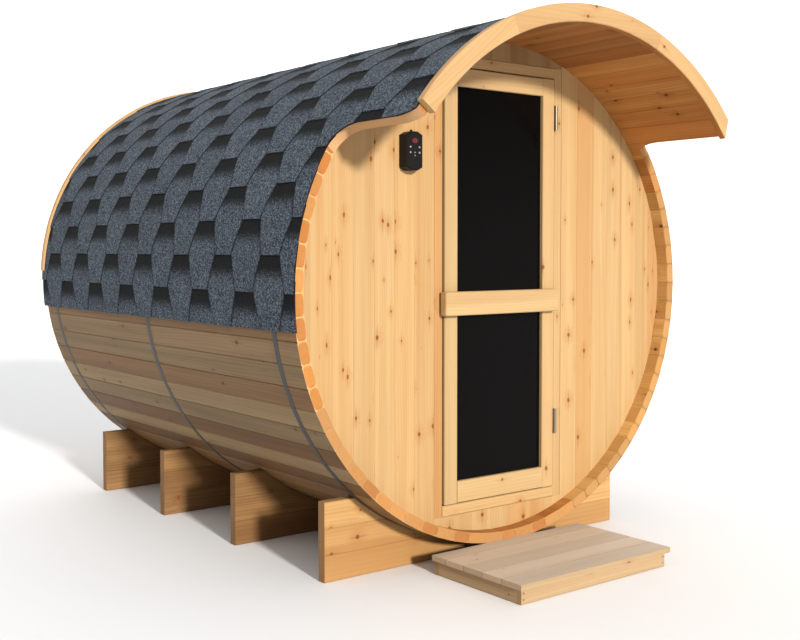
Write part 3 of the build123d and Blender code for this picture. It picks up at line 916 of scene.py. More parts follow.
def trim(piece: bpy.types.Object, cutters: list[bpy.types.Object]) -> bpy.types.Object:
    """Saw closed cutters off a piece and delete them.

    Args:
        piece: The piece to saw.
        cutters: The closed pieces to take away from it.

    Returns:
        The piece with its new mesh.
    """
    for cutter in cutters:
        saw = piece.modifiers.new(cutter.name, "BOOLEAN")
        saw.operation = "DIFFERENCE"
        saw.solver = "EXACT"
        saw.object = cutter
    evaluated = piece.evaluated_get(bpy.context.evaluated_depsgraph_get())
    mesh = bpy.data.meshes.new_from_object(evaluated)
    piece.modifiers.clear()
    piece.data = mesh
    for cutter in cutters:
        bpy.data.objects.remove(cutter)
    return piece


def eased_bars(boxes: list[tuple[Array, Array]], run: Run, ease: float) -> Array:
    """Cross-sections of straight bars with small bevels along their four long edges.

    Each profile is a rectangle whose corners are cut off at the ease, carried straight from one
    end of the box to the other.

    Args:
        boxes: Lowest and highest corners of the bars.
        run: The direction of their grain.
        ease: Width of the bevels' legs.

    Returns:
        Points as bars, two stations, eight profile points and three coordinates.
    """
    low = np.array([box[0] for box in boxes], float)
    high = np.array([box[1] for box in boxes], float)
    first, second = [axis for axis in range(3) if axis != run.value]
    pick_first = np.array([0, 0, 0, 0, 1, 1, 1, 1])
    nudge_first = np.array([1, 0, 0, 1, -1, 0, 0, -1]) * ease
    pick_second = np.array([0, 0, 1, 1, 1, 1, 0, 0])
    nudge_second = np.array([0, 1, -1, 0, 0, -1, 1, 0]) * ease
    sections = np.zeros((len(boxes), 2, 8, 3))
    span = np.stack([low, high], axis=-1)
    sections[..., first] = (span[:, first][:, pick_first] + nudge_first)[:, None]
    sections[..., second] = (span[:, second][:, pick_second] + nudge_second)[:, None]
    sections[..., run.value] = span[:, run.value][:, :, None]
    return sections


def node_bars(nodes: list[str], run: Run, ease: float) -> Array:
    """Eased bars that fill the boxes of nodes."""
    return eased_bars([corners(node) for node in nodes], run, ease)


@dataclass(frozen=True)
class CanopySaw:
    """The saw cut along one lower edge of the canopy and back to the ring below it."""

    barrel: Barrel
    side: Side
    edge_share: float
    lean: float
    front_rise: float
    corner: float = 0.120
    front_run: float = 0.090
    overrun: float = 0.80
    tall: float = 7.0
    reach: tuple[float, float] = (-0.05, 1.15)

    def outline(self, lip: float, squared: bool) -> Array:
        """Side view of what is sawn away, as places along the barrel and heights over its axis.

        The corner at the ring is a quarter circle and the rise at the front a parabola.

        Args:
            lip: How far the edge stands out ahead of the ring and below the canopy's edge.
            squared: Whether everything ahead of the canopy is sawn off too.

        Returns:
            The outline's points.
        """
        barrel = self.barrel
        edge = barrel.radius * self.edge_share - lip
        ring = barrel.ring_y - lip
        turn = np.linspace(0, np.pi / 2, 16)
        corner = np.stack(
            [ring - self.corner * (1 - np.cos(turn)), edge - self.corner * (1 - np.sin(turn))], axis=-1
        )
        share = np.linspace(0, 1, 9)[1:] if self.front_rise else np.array([1.0])
        run = self.front_run if self.front_rise else 0.0
        front = np.stack([barrel.canopy_y + run * (1 - share), edge + self.front_rise * share**2], axis=-1)
        ahead = barrel.canopy_y - self.overrun
        if squared:
            far = [[barrel.canopy_y, self.tall], [ahead, self.tall], [ahead, -self.tall], [ring, -self.tall]]
        else:
            far = [[ahead, edge + self.front_rise], [ahead, -self.tall], [ring, -self.tall]]
        return np.concatenate([corner, front, np.array(far)])

    def cutter(self, lip: float, squared: bool) -> bpy.types.Object:
        """The closed prism that the saw takes away: the outline carried along the leaning cut.

        Args:
            lip: How far the edge stands out ahead of the ring and below the canopy's edge.
            squared: Whether everything ahead of the canopy is sawn off too.

        Returns:
            The prism.
        """
        outline = self.outline(lip, squared)
        edge = self.barrel.radius * self.edge_share
        edge_across = math.sqrt(self.barrel.inner_flat**2 - edge**2)
        across = np.array(self.reach)
        rise = (across - edge_across) / math.tan(math.radians(self.lean))
        sections = np.zeros((1, 2, len(outline), 3))
        sections[..., 0] = self.side.value * across[None, :, None]
        sections[..., 1] = outline[:, 0]
        sections[..., 2] = self.barrel.axis_z + outline[:, 1] + rise[None, :, None]
        chart = np.stack([sections[..., 1] + 2, np.abs(sections[..., 0]) + END_OFFSET + 2], axis=-1)
        chart[:, :, [0, -1], 1] = END_OFFSET
        return Boards("canopy_cut").add(sections, chart).mesh_object()


@dataclass(frozen=True)
class Staves:
    """Bead-and-cove boards that make the round wall and run on to make the canopy."""

    barrel: Barrel
    saws: dict[Side, CanopySaw]
    gap: float = 0.0004
    ease: float = 0.0028
    inner_ease: float = 0.0010
    bead: float = 0.009
    facets: int = 8
    sector: float = 45.0

    def profile(self) -> Array:
        """A stave's section, as places across it and distances from the axis.

        Straight bevelled edges with a half-round bead on the right and a half-round cove on the
        left, and small bevels at the outer and inner corners.

        Returns:
            The section's points in order.
        """
        barrel = self.barrel
        half = math.radians(barrel.pitch / 2)
        slope = np.array([math.sin(half), math.cos(half)])
        normal = np.array([math.cos(half), -math.sin(half)])
        mirror = np.array([-1.0, 1.0])

        def edge(height: float) -> Array:
            """A point of the right edge at a distance from the axis."""
            return np.array([height * math.tan(half) - self.gap / 2, height])

        middle = edge((barrel.outer_flat + barrel.inner_flat) / 2)
        turn = np.linspace(0, np.pi, self.facets + 1)[:, None]
        swing = slope * np.cos(turn) + normal * np.sin(turn)
        bead = middle + swing * self.bead
        cove = (middle - swing * (self.bead + self.gap / 2)) * mirror
        corners = np.array(
            [
                edge(barrel.outer_flat) - [self.ease, 0.0],
                edge(barrel.outer_flat - self.ease),
                edge(barrel.inner_flat + self.inner_ease),
                edge(barrel.inner_flat) - [self.inner_ease, 0.0],
            ]
        )
        right = np.concatenate([corners[:2], bead, corners[2:]])
        left = np.concatenate([corners[:1:-1] * mirror, cove, corners[1::-1] * mirror])
        return np.concatenate([right, left])

    def sections(self, numbers: Array, front: float) -> Array:
        """Staves' sections turned round the axis at both ends.

        Args:
            numbers: Which staves, counted from the top.
            front: Where they start.

        Returns:
            Points as staves, two stations, profile points and three coordinates.
        """
        profile = self.profile()
        turn = np.radians(numbers * self.barrel.pitch)[:, None]
        x = profile[:, 0] * np.cos(turn) + profile[:, 1] * np.sin(turn)
        z = self.barrel.axis_z - profile[:, 0] * np.sin(turn) + profile[:, 1] * np.cos(turn)
        ends = np.array([front, self.barrel.rear_y])[None, :, None]
        shape = (len(numbers), 2, len(profile))
        return np.stack([np.broadcast_to(v, shape) for v in (x[:, None], ends, z[:, None])], axis=-1)

    def build(self) -> None:
        """Make the eight groups of staves, sawing the two that carry the canopy's lower edges."""
        # The right staves take the lit copy of the stave pine (painted light), and the canopy's and ridge's
        # staves darker shaded copies (painted shade).
        groups = (
            ("staves_ridge", None, STAVE_RIDGE_SHADED),
            ("staves_upper_right", Side.RIGHT, STAVE_CANOPY_SHADED),
            ("staves_right", None, STAVE_SUNLIT_COPY),
            ("staves_lower_right", None, STAVE_SUNLIT_COPY),
            ("staves_floor", None, STAVE_LOW),
            ("staves_lower_left", None, STAVE_LOW),
            ("staves_left", None, STAVE_PINE),
            ("staves_upper_left", Side.LEFT, STAVE_PINE),
        )
        every = np.arange(self.barrel.stave_count)
        sectors = np.round(every * self.barrel.pitch / self.sector) % len(groups)
        for sector, (node, side, finish) in enumerate(groups):
            runs_on = side is not None or node == "staves_ridge"
            front = self.barrel.canopy_y if runs_on else self.barrel.ring_y
            boards = Boards(f"{node}_boards", 10 * sector)
            piece = boards.add(self.sections(every[sectors == sector], front)).mesh_object()
            if side is not None:
                trim(piece, [self.saws[side].cutter(0.0, False)])
            dress(piece, finish, (node,))


@dataclass(frozen=True)
class EndWalls:
    """Upright boards of the front wall round the doorway, and of the plain rear wall."""

    barrel: Barrel
    board_width: float = 0.0935
    ease: float = 0.0009
    rim_margin: float = 0.0008
    slack: float = 1e-6

    def columns(self, start: float, stop: float, width: float) -> Array:
        """Left and right edges of boards of one width, the last one ripped to what is left.

        Args:
            start: Where the first board starts.
            stop: Where the last one ends, on either side of the start.
            width: The boards' width.

        Returns:
            One row of two edges a board.
        """
        count = math.ceil(abs(stop - start) / width - self.slack)
        edges = start + np.sign(stop - start) * width * np.arange(count + 1)
        edges[-1] = stop
        return np.sort(np.stack([edges[:-1], edges[1:]], axis=-1), axis=-1)

    def sections(self, columns: Array, depths: tuple[float, float], low: float, high: float) -> Array:
        """Upright boards whose ends follow the wall's rim or a straight cut.

        The profile is an eased rectangle. Its ends are at the axis height minus and plus the root
        of rim radius squared minus x squared, limited to the field's lower and upper edge.

        Args:
            columns: Left and right edges of the boards.
            depths: Front and back of the wall.
            low: Lower edge of the field.
            high: Upper edge of the field.

        Returns:
            Points as boards, two stations, eight profile points and three coordinates.
        """
        front, back = depths
        boxes = [(np.array([a, front, 0]), np.array([b, back, 1])) for a, b in columns]
        sections = eased_bars(boxes, Run.UPRIGHT, self.ease)
        radius = self.barrel.wall_radius
        across = np.clip(np.abs(sections[:, 0, :, 0]), 0, radius - self.rim_margin)
        reach = np.sqrt(radius**2 - across**2)
        sections[:, 0, :, 2] = np.maximum(self.barrel.axis_z - reach, low)
        sections[:, 1, :, 2] = np.minimum(self.barrel.axis_z + reach, high)
        return sections

    def build(self) -> None:
        """Make the four fields of the front wall and the rear wall."""
        limit = self.barrel.wall_radius - self.rim_margin
        low, high = self.barrel.axis_z - self.barrel.radius, self.barrel.axis_z + self.barrel.radius
        left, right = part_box("jamb_left")[0].x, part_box("jamb_right")[1].x
        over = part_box("door_head")[1].z
        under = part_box("door_sill")[0].z
        middle = (right - left) / round((right - left) / self.board_width)
        fields = (
            ("front_wall_left", left, -limit, self.board_width, low, high),
            ("front_wall_right", right, limit, self.board_width, low, high),
            ("front_wall_over_door", left, right, middle, over, high),
            ("front_wall_under_door", left, right, middle, low, under),
            ("rear_wall", -limit, limit, self.board_width, low, high),
        )
        for number, (node, start, stop, width, bottom, top) in enumerate(fields):
            # The field over the door takes the darker copy: painted shade under the canopy.
            finish = WALL_SHADED_OVER_DOOR if node == "front_wall_over_door" else WALL_PINE
            corner_low, corner_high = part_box(node)
            boards = Boards(f"{node}_boards", 100 + 30 * number)
            columns = self.columns(start, stop, width)
            boards.add(self.sections(columns, (corner_low.y, corner_high.y), bottom, top))
            dress(boards.mesh_object(), finish, (node,))


@dataclass(frozen=True)
class DoorFrame:
    """Four timbers round the doorway, each with the stop that the leaf closes against."""

    ease: float = 0.003
    stop_gap: float = 0.005

    def build(self) -> None:
        """Make the jambs, the head and the sill with their stops."""
        head_low, head_high = corners("door_head")
        stop_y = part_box("door_stile_latch")[1].y + self.stop_gap
        leaf_low, leaf_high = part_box("door_stile_latch")[0].z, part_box("door_stile_latch")[1].z
        opening = (head_low[0], head_high[0])
        heights = (leaf_low - self.stop_gap, leaf_high + self.stop_gap)
        timbers = (
            ("jamb_left", Run.UPRIGHT, 0, opening[0], 1, FRAME_PINE),
            ("jamb_right", Run.UPRIGHT, 0, opening[1], -1, FRAME_PALE),
            ("door_head", Run.ACROSS, 2, heights[1], -1, FRAME_PALE),
            ("door_sill", Run.ACROSS, 2, heights[0], 1, FRAME_PALE),
        )
        for number, (node, run, axis, face, inward, finish) in enumerate(timbers):
            low, high = corners(node)
            main_low, main_high, stop_low, stop_high = low.copy(), high.copy(), low.copy(), high.copy()
            (main_high if inward > 0 else main_low)[axis] = face
            (stop_low if inward > 0 else stop_high)[axis] = face
            stop_low[1] = stop_y
            if run is Run.UPRIGHT:
                stop_low[2], stop_high[2] = heights
            boards = Boards(f"{node}_timber", 300 + 10 * number)
            boards.add(eased_bars([(main_low, main_high), (stop_low, stop_high)], run, self.ease))
            dress(boards.mesh_object(), finish, (node,))


@dataclass(frozen=True)
class DoorLeaf:
    """Stiles and rails round two dark panes, with a crossbar that serves as the handle."""

    ease: float = 0.003
    bar_round: float = 0.009

    def crossbar(self) -> None:
        """Make the crossbar: a plan outline with its free end rounded, carried upright and eased.

        The free end's corners are quarter circles. The outline is drawn in by the ease at the
        bottom and the top, and the grain map follows the bar's length.
        """
        low, high = corners("door_crossbar")
        turn = np.linspace(0, np.pi / 2, 6)
        bulge = self.bar_round * (1 - np.cos(turn))
        front = np.stack([low[0] + self.bar_round * (1 - np.sin(turn)), low[1] + bulge], axis=-1)
        back = np.stack([front[::-1, 0], low[1] + high[1] - front[::-1, 1]], axis=-1)
        far = [[high[0], high[1]], [high[0], low[1]]]
        outline = np.concatenate([front, back, far])
        centre = (low[:2] + high[:2]) / 2
        drawn = centre + (outline - centre) * (1 - 2 * self.ease / (high[:2] - low[:2]))
        levels = (low[2], low[2] + self.ease, high[2] - self.ease, high[2])
        sections = np.zeros((1, 4, len(outline), 3))
        for station, (plan, level) in enumerate(zip((drawn, outline, outline, drawn), levels)):
            sections[0, station, :, :2] = plan
            sections[0, station, :, 2] = level
        chart = np.stack([sections[..., 0] + 1, sections[..., 2] + sections[..., 1]], axis=-1)
        boards = Boards("door_crossbar_board", 360)
        dress(boards.add(sections, chart).mesh_object(), DOOR_PINE, ("door_crossbar",), "door")

    def build(self) -> None:
        """Make the stiles, rails and crossbar, and dress the panes."""
        runs = {
            "door_stile_latch": Run.UPRIGHT,
            "door_stile_hinge": Run.UPRIGHT,
            "door_rail_top": Run.ACROSS,
            "door_rail_middle": Run.ACROSS,
            "door_rail_bottom": Run.ACROSS,
        }
        for number, (node, run) in enumerate(runs.items()):
            boards = Boards(f"{node}_board", 350 + number)
            boards.add(node_bars([node], run, self.ease))
            dress(boards.mesh_object(), DOOR_PINE, (node,), "door")
        self.crossbar()
        for node in ("door_pane_upper", "door_pane_lower"):
            dress_node(node, DARK_GLASS)


@dataclass(frozen=True)
class Metalwork:
    """Steel bands round the staves and the door's butt hinges."""

    def build(self) -> None:
        """Dress the bands and the hinges."""
        dress_node("hoops", HOOP_STEEL)
        for place in ("lower", "upper"):
            for part in ("frame_side", "leaf_side"):
                dress_node(f"hinge_{place}_{part}", HINGE_STEEL)


def face_rows(piece: bpy.types.Object, name: str) -> Array:
    """One vector a face of a piece, read as a whole array.

    Args:
        piece: The mesh object.
        name: The property of a face, normal or center.

    Returns:
        The vectors, one row a face.
    """
    rows = np.empty(3 * len(piece.data.polygons))
    piece.data.polygons.foreach_get(name, rows)
    return rows.reshape(-1, 3)


def second_finish(piece: bpy.types.Object, finish: PineFinish, chosen: Array) -> None:
    """Give chosen faces of a piece a second finish.

    Args:
        piece: The mesh object, which has its first finish.
        finish: The second finish.
        chosen: True for each face that gets it.
    """
    piece.data.materials.append(finish.material())
    piece.data.polygons.foreach_set("material_index", chosen.astype(np.int32))


@dataclass(frozen=True)
class Fascias:
    """Arched boards nailed to the front and rear ends of the roof staves."""

    barrel: Barrel
    right_saw: CanopySaw
    inner_drop: float = 0.008
    joint_gap: float = 0.0004
    left_joint: float = -24.0
    right_joint: float = 20.0
    ease: float = 0.003
    stations: int = 19

    def sawn_angle(self, radius: Array) -> Array:
        """Angle at which a circle meets the right saw cut.

        The cut is the line through the inner edge that leans outwards. Its distance from the axis
        and its direction give the angle as lean plus the arc cosine of distance over radius.

        Args:
            radius: Radii of the circles.

        Returns:
            The angles from the top.
        """
        lean = math.radians(self.right_saw.lean)
        edge = self.barrel.radius * self.right_saw.edge_share
        across = math.sqrt(self.barrel.inner_flat**2 - edge**2)
        distance = across * math.cos(lean) - edge * math.sin(lean)
        return math.degrees(lean) + np.degrees(np.arcsin(distance / radius))

    def board(
        self, first: float, last: float | None, outer: float, depths: tuple[float, float]
    ) -> tuple[Array, Array]:
        """One arched board: an eased rectangle carried along an arc.

        Each point of the profile keeps its radius while its angle goes evenly from the first
        angle to the last one. The grain map is straight, along the board's chord, as the board
        is cut from a straight plank.

        Args:
            first: Angle of the left end.
            last: Angle of the right end, or None where it is sawn along the canopy's edge.
            outer: Outer radius.
            depths: Front and back of the board.

        Returns:
            The sections and their grain map.
        """
        inner = self.barrel.inner_flat - self.inner_drop
        box = (np.array([inner, depths[0], 0]), np.array([outer, depths[1], 1]))
        profile = eased_bars([box], Run.UPRIGHT, self.ease)[0, 0]
        stop = self.sawn_angle(profile[:, 0]) if last is None else np.full(8, last)
        share = np.linspace(0, 1, self.stations)[:, None]
        angle = first + (stop - first) * share
        sections = self.barrel.around(profile[:, 0], angle, profile[:, 1])[None]
        middle = math.radians(float(angle.mean()))
        height = sections[..., 2] - self.barrel.axis_z
        along = sections[..., 0] * math.cos(middle) - height * math.sin(middle)
        across = sections[..., 0] * math.sin(middle) + height * math.cos(middle)
        return sections, np.stack([along + 1, across - inner + 0.5 + sections[..., 1]], axis=-1)

    def paint_underside_shade(self, piece: bpy.types.Object) -> None:
        """Paint shade on the faces that look at the axis, found by the sign of normal times radius: they take
        a darker pine, the painted shade of the canopy's underside.

        Args:
            piece: The boards.
        """
        normal = face_rows(piece, "normal")
        centre = face_rows(piece, "center") - [0, 0, self.barrel.axis_z]
        inward = normal[:, 0] * centre[:, 0] + normal[:, 2] * centre[:, 2] < -0.8
        second_finish(piece, UNDERSIDE_SHADE_PINE, inward)

    def build(self) -> None:
        """Make the three front boards and the four rear ones."""
        barrel = self.barrel
        joint = math.degrees(self.joint_gap / barrel.radius)
        low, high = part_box("front_fascia")
        outer = high.z - barrel.axis_z
        left_end = math.degrees(math.atan2(low.x, math.sqrt(outer**2 - low.x**2)))
        front_ends = (
            (left_end, self.left_joint - joint),
            (self.left_joint, self.right_joint - joint),
            (self.right_joint, None),
        )
        front = Boards("front_fascia_boards", 370)
        for first, last in front_ends:
            front.add(*self.board(first, last, outer, (low.y, high.y)))
        self.paint_underside_shade(dress(front.mesh_object(), FASCIA_PINE, ("front_fascia",)))

        low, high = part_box("rear_fascia")
        foot = math.degrees(math.acos((low.z - barrel.axis_z) / (barrel.inner_flat - self.inner_drop)))
        rear = Boards("rear_fascia_boards", 380)
        for first in (-foot, -foot / 2, 0, foot / 2):
            rear.add(*self.board(first, first + foot / 2 - joint, outer, (low.y, high.y)))
        dress(rear.mesh_object(), FASCIA_PINE, ("rear_fascia",))


@dataclass(frozen=True)
class ShingleRoof:
    """Courses of cut shingles on both sides, starter strips under them and caps along the ridge."""

    barrel: Barrel
    saws: dict[Side, CanopySaw]
    exposure: float = SHINGLE.exposure
    lap: float = 0.044
    thickness: float = 0.0022
    slack: float = 0.0003
    unit: float = 0.3355
    tab_centre: float = -0.607
    joint: float = 0.0006
    tab_low: float = SHINGLE.tab_low
    tab_high: float = SHINGLE.tab_high
    lips: tuple[float, float] = (0.014, -0.007)
    base_rise: float = 0.0012
    eave_drop: float = 0.135
    foot_height: float = 0.041
    cap_width: float = 0.200
    cap_exposure: float = 0.150
    cap_lap: float = 0.060
    cap_sink: float = 1.6
    ridge_gap: float = 0.002
    step_gap: float = 0.0005
    overrun: float = 1.0

    @property
    def base(self) -> float:
        """Radius that the shingles lie on, just clear of the staves."""
        return self.barrel.outer_flat + self.base_rise

    @property
    def full(self) -> float:
        """Height of a whole course from its butt to its hidden upper edge."""
        return 2 * self.exposure + self.lap

    def course(self, butt: float, offset: float, side: Side, low: float) -> tuple[Array, Array]:
        """The units of one course.

        A unit is a strip carried up the roof from its butt: its width grows evenly from the tab's
        lower width to its upper one over the exposure, then steps to the whole unit. The angle is
        the butt's minus the distance over the base radius. The underside drops evenly to the base
        radius at the full height, which lays each course on the one below.

        Args:
            butt: Angle of the butt.
            offset: Shift of the tabs along the barrel.
            side: Side of the roof.
            low: Distance above the butt where the strip starts.

        Returns:
            The sections and their grain map.
        """
        top = min(self.full, math.radians(butt) * self.base - self.ridge_gap)
        tab = np.linspace(0, self.exposure, 5) if low < self.exposure else np.zeros(0)
        band = np.linspace(max(low, self.exposure) + self.step_gap, top, 6)
        height = np.concatenate([tab, band])
        share = np.clip(height / self.exposure, 0, 1)
        width = np.where(
            height <= self.exposure,
            self.tab_low + (self.tab_high - self.tab_low) * share,
            self.unit - self.joint,
        )
        drop = (self.thickness + self.slack) * self.full / self.exposure
        under = self.base + drop * (1 - height / self.full)
        ahead = math.ceil((self.tab_centre - self.barrel.canopy_y) / self.unit + 1)
        first = self.tab_centre + offset - self.unit * ahead
        count = math.ceil((self.barrel.fascia_back_y - first) / self.unit) + 1
        centre = first + self.unit * np.arange(count)
        depth = centre[:, None, None] + width[None, :, None] / 2 * np.array([-1, 1, 1, -1])
        radius = under[None, :, None] + self.thickness * np.array([0, 0, 1, 1])
        angle = side.value * (butt - np.degrees(height / self.base))[None, :, None]
        sections = self.barrel.around(radius, angle, depth)
        aside = depth - centre[:, None, None] + BOARD_SPAN / 2
        chart = np.stack(np.broadcast_arrays(aside, height[None, :, None]), axis=-1)
        return sections, chart

    def rear_cutter(self) -> bpy.types.Object:
        """The block behind the roof, stepped back under the rear fascia's feet.

        Returns:
            The block.
        """
        barrel = self.barrel
        far = barrel.fascia_back_y + self.overrun
        foot = barrel.axis_z + self.foot_height
        tall = barrel.axis_z + barrel.radius + self.overrun
        outline = np.array(
            [
                [barrel.rear_y, tall],
                [barrel.rear_y, foot],
                [barrel.fascia_back_y, foot],
                [barrel.fascia_back_y, -self.overrun],
                [far, -self.overrun],
                [far, tall],
            ]
        )
        half = barrel.radius + self.overrun
        sections = np.zeros((1, 2, len(outline), 3))
        sections[..., 0] = np.array([-half, half])[None, :, None]
        sections[..., 1:] = outline
        return Boards("rear_cut").add(sections, np.zeros((1, 2, len(outline), 2))).mesh_object()

    def ridge_caps(self) -> None:
        """Make the overlapping caps: a flat strip carried across the ridge, tilted by one thickness."""
        low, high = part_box("ridge_cap")
        count = math.ceil((high.y - low.y - self.cap_lap) / self.cap_exposure)
        start = high.y - self.cap_exposure * np.arange(count)
        span = self.cap_exposure + self.cap_lap
        finish = np.maximum(start - span, low.y)
        half = math.degrees(self.cap_width / 2 / self.base)
        angle = np.linspace(-half, half, 9)[None, :, None]
        tilt = self.thickness * span / self.cap_exposure
        inner = high.z - self.barrel.axis_z - self.cap_sink * self.thickness
        depth = np.stack([start, finish, finish, start], axis=-1)[:, None]
        radius = inner + np.array([0, tilt, self.thickness + tilt, self.thickness])[None, None]
        sections = self.barrel.around(radius, angle, depth)
        aside = np.radians(angle) * self.base + BOARD_SPAN / 2
        chart = np.stack(np.broadcast_arrays(aside, high.y - depth), axis=-1)
        boards = Boards("ridge_cap_shingles", 700)
        dress(boards.add(sections, chart).mesh_object(), RIDGE_SHINGLE, ("ridge_cap",))

    def build(self) -> None:
        """Make both sides of the roof and the ridge caps."""
        eave = 90 + math.degrees(math.asin(self.eave_drop / self.base))
        step = math.degrees(self.exposure / self.base)
        courses = int(eave / step)
        for number, side in enumerate((Side.LEFT, Side.RIGHT)):
            node = f"shingles_{side.name.lower()}"
            roof = Boards(f"{node}_tabs", 400 + 150 * number)
            roof.add(*self.course(eave + step, 0.0, side, self.exposure))
            for course in range(courses):
                offset = self.unit / 2 * ((course + 1) % 2)
                roof.add(*self.course(eave - course * step, offset, side, 0.0))
            piece = roof.mesh_object()
            trim(piece, [self.saws[side].cutter(self.lips[number], True), self.rear_cutter()])
            dress(piece, SHINGLE, (node,))
        self.ridge_caps()


@dataclass(frozen=True)
class Cradles:
    """Four boards on edge, each glued from three lamellas, with the barrel's curve cut into them."""

    barrel: Barrel
    lamellas: int = 3
    ease: float = 0.002
    seat_gap: float = 0.0003
    thin: float = 0.004
    stations: int = 25

    def lamella(self, node: str, level: int) -> list[Array]:
        """The pieces of one lamella, cut off along the barrel's curve.

        An eased rectangle is carried across the cradle. Its upper edge is the lower of the
        lamella's own top and the curve, axis height minus the root of radius squared minus x
        squared. Where the curve cuts the lamella through, it is left and right pieces.

        Args:
            node: The cradle's node.
            level: Which lamella, from the ground.

        Returns:
            The pieces' sections.
        """
        low, high = corners(node)
        step = (high[2] - low[2]) / self.lamellas
        bottom, top = low[2] + level * step, low[2] + (level + 1) * step
        radius = self.barrel.radius + self.seat_gap
        cut = self.barrel.axis_z - bottom - self.thin
        spans = [(low[0], high[0])]
        if cut < radius:
            inner = math.sqrt(radius**2 - cut**2)
            spans = [(low[0], -inner), (inner, high[0])]
        pieces = []
        for start, stop in spans:
            across = np.linspace(start, stop, self.stations)
            curve = self.barrel.axis_z - np.sqrt(np.maximum(radius**2 - across**2, 0.0))
            upper = np.where(np.abs(across) < radius, np.minimum(curve, top), top)
            box = (np.array([0, low[1], 0]), np.array([1, high[1], 1]))
            unit = eased_bars([box], Run.ACROSS, self.ease)[0, 0]
            sections = np.zeros((1, self.stations, 8, 3))
            sections[0, :, :, 0] = across[:, None]
            sections[0, :, :, 1] = unit[:, 1]
            near_top = unit[:, 2] > 0.5
            sections[0, :, :, 2] = np.where(
                near_top, upper[:, None] + unit[:, 2] - 1, bottom + unit[:, 2]
            )
            pieces.append(sections)
        return pieces

    def build(self) -> None:
        """Make the four cradles."""
        nodes = ("cradle_front", "cradle_front_middle", "cradle_rear_middle", "cradle_rear")
        # The three rear cradles take the darker copy: painted shade.
        finishes = (CRADLE_PINE, CRADLE_SHADED, CRADLE_SHADED, CRADLE_SHADED)
        for number, (node, finish) in enumerate(zip(nodes, finishes)):
            boards = Boards(f"{node}_lamellas", 720 + 10 * number)
            for level in range(self.lamellas):
                for sections in self.lamella(node, level):
                    boards.add(sections)
            dress(boards.mesh_object(), finish, (node,))


@dataclass(frozen=True)
class FloorGrating:
    """Slats along the barrel behind the door, on bearers."""

    slats: int = 5
    gap: float = 0.015
    ease: float = 0.003

    def build(self) -> None:
        """Make the slats and dress the bearers."""
        low, high = corners("floor_slats")
        pitch = (high[0] - low[0] + self.gap) / self.slats
        boxes = []
        for number in range(self.slats):
            left = low[0] + number * pitch
            right = left + pitch - self.gap
            boxes.append((np.array([left, low[1], low[2]]), np.array([right, high[1], high[2]])))
        boards = Boards("floor_slat_boards", 770)
        boards.add(eased_bars(boxes, Run.DEPTH, self.ease))
        dress(boards.mesh_object(), FLOOR_PINE, ("floor_slats",))
        dress_node("floor_bearers", BEARER_PINE)


@dataclass(frozen=True)
class EntranceStep:
    """Deck boards on a low frame of boards on edge, with nail heads in the frame's front."""

    pitch: float = 0.100
    gap: float = 0.003
    board_thickness: float = 0.022
    ease: float = 0.003
    deck_ease: float = 0.0008
    nail_radius: float = 0.0032
    nail_shares: tuple[float, float] = (0.3, 0.72)
    nail_proud: float = 0.0006

    def build(self) -> None:
        """Make the deck, the frame and the nails."""
        low, high = corners("step_deck")
        boxes = []
        for front in np.arange(low[1], high[1] - self.gap, self.pitch):
            back = min(front + self.pitch - self.gap, high[1])
            boxes.append((np.array([low[0], front, low[2]]), np.array([high[0], back, high[2]])))
        deck = Boards("step_deck_boards", 780)
        deck.add(eased_bars(boxes, Run.ACROSS, self.deck_ease))
        top = dress(deck.mesh_object(), DECK_PINE, ("step_deck",))
        second_finish(top, STEP_PINE, face_rows(top, "normal")[:, 1] < -0.5)

        low, high = corners("step_frame")
        thick = self.board_thickness
        front = (low, np.array([high[0], low[1] + thick, high[2]]))
        back = (np.array([low[0], high[1] - thick, low[2]]), high)
        inner = (low[1] + thick, high[1] - thick)
        left = (np.array([low[0], inner[0], low[2]]), np.array([low[0] + thick, inner[1], high[2]]))
        right = (np.array([high[0] - thick, inner[0], low[2]]), np.array([high[0], inner[1], high[2]]))
        boards = Boards("step_frame_boards", 790)
        boards.add(eased_bars([front, back], Run.ACROSS, self.ease))
        boards.add(eased_bars([left, right], Run.DEPTH, self.ease))
        dress(boards.mesh_object(), STEP_PINE, ("step_frame",))

        across = np.array([low[0] + thick / 2, high[0] - thick / 2])
        height = low[2] + (high[2] - low[2]) * np.array(self.nail_shares)
        centres = np.stack([grid.ravel() for grid in np.meshgrid(across, height)], axis=-1)
        nails = discs(centres, low[1], self.nail_radius, self.nail_radius, self.nail_proud)
        dress(Boards("step_nails").add(nails).mesh_object(), NAIL_STEEL)


def discs(centres: Array, face: float, half_width: float, half_height: float, proud: float) -> Array:
    """Small oval discs on a face that looks to the front: x = a cos(turn), z = b sin(turn).

    Args:
        centres: Places across and heights of the discs.
        face: Where the face is.
        half_width: Half the discs' width.
        half_height: Half the discs' height.
        proud: How far they stand out of the face.

    Returns:
        Points as discs, two stations, profile points and three coordinates.
    """
    turn = np.linspace(0, 2 * np.pi, 16, endpoint=False)
    sections = np.zeros((len(centres), 2, len(turn), 3))
    sections[..., 0] = centres[:, None, None, 0] + half_width * np.cos(turn)
    sections[..., 1] = np.array([face + proud, face - proud])[None, :, None]
    sections[..., 2] = centres[:, None, None, 1] + half_height * np.sin(turn)
    return sections


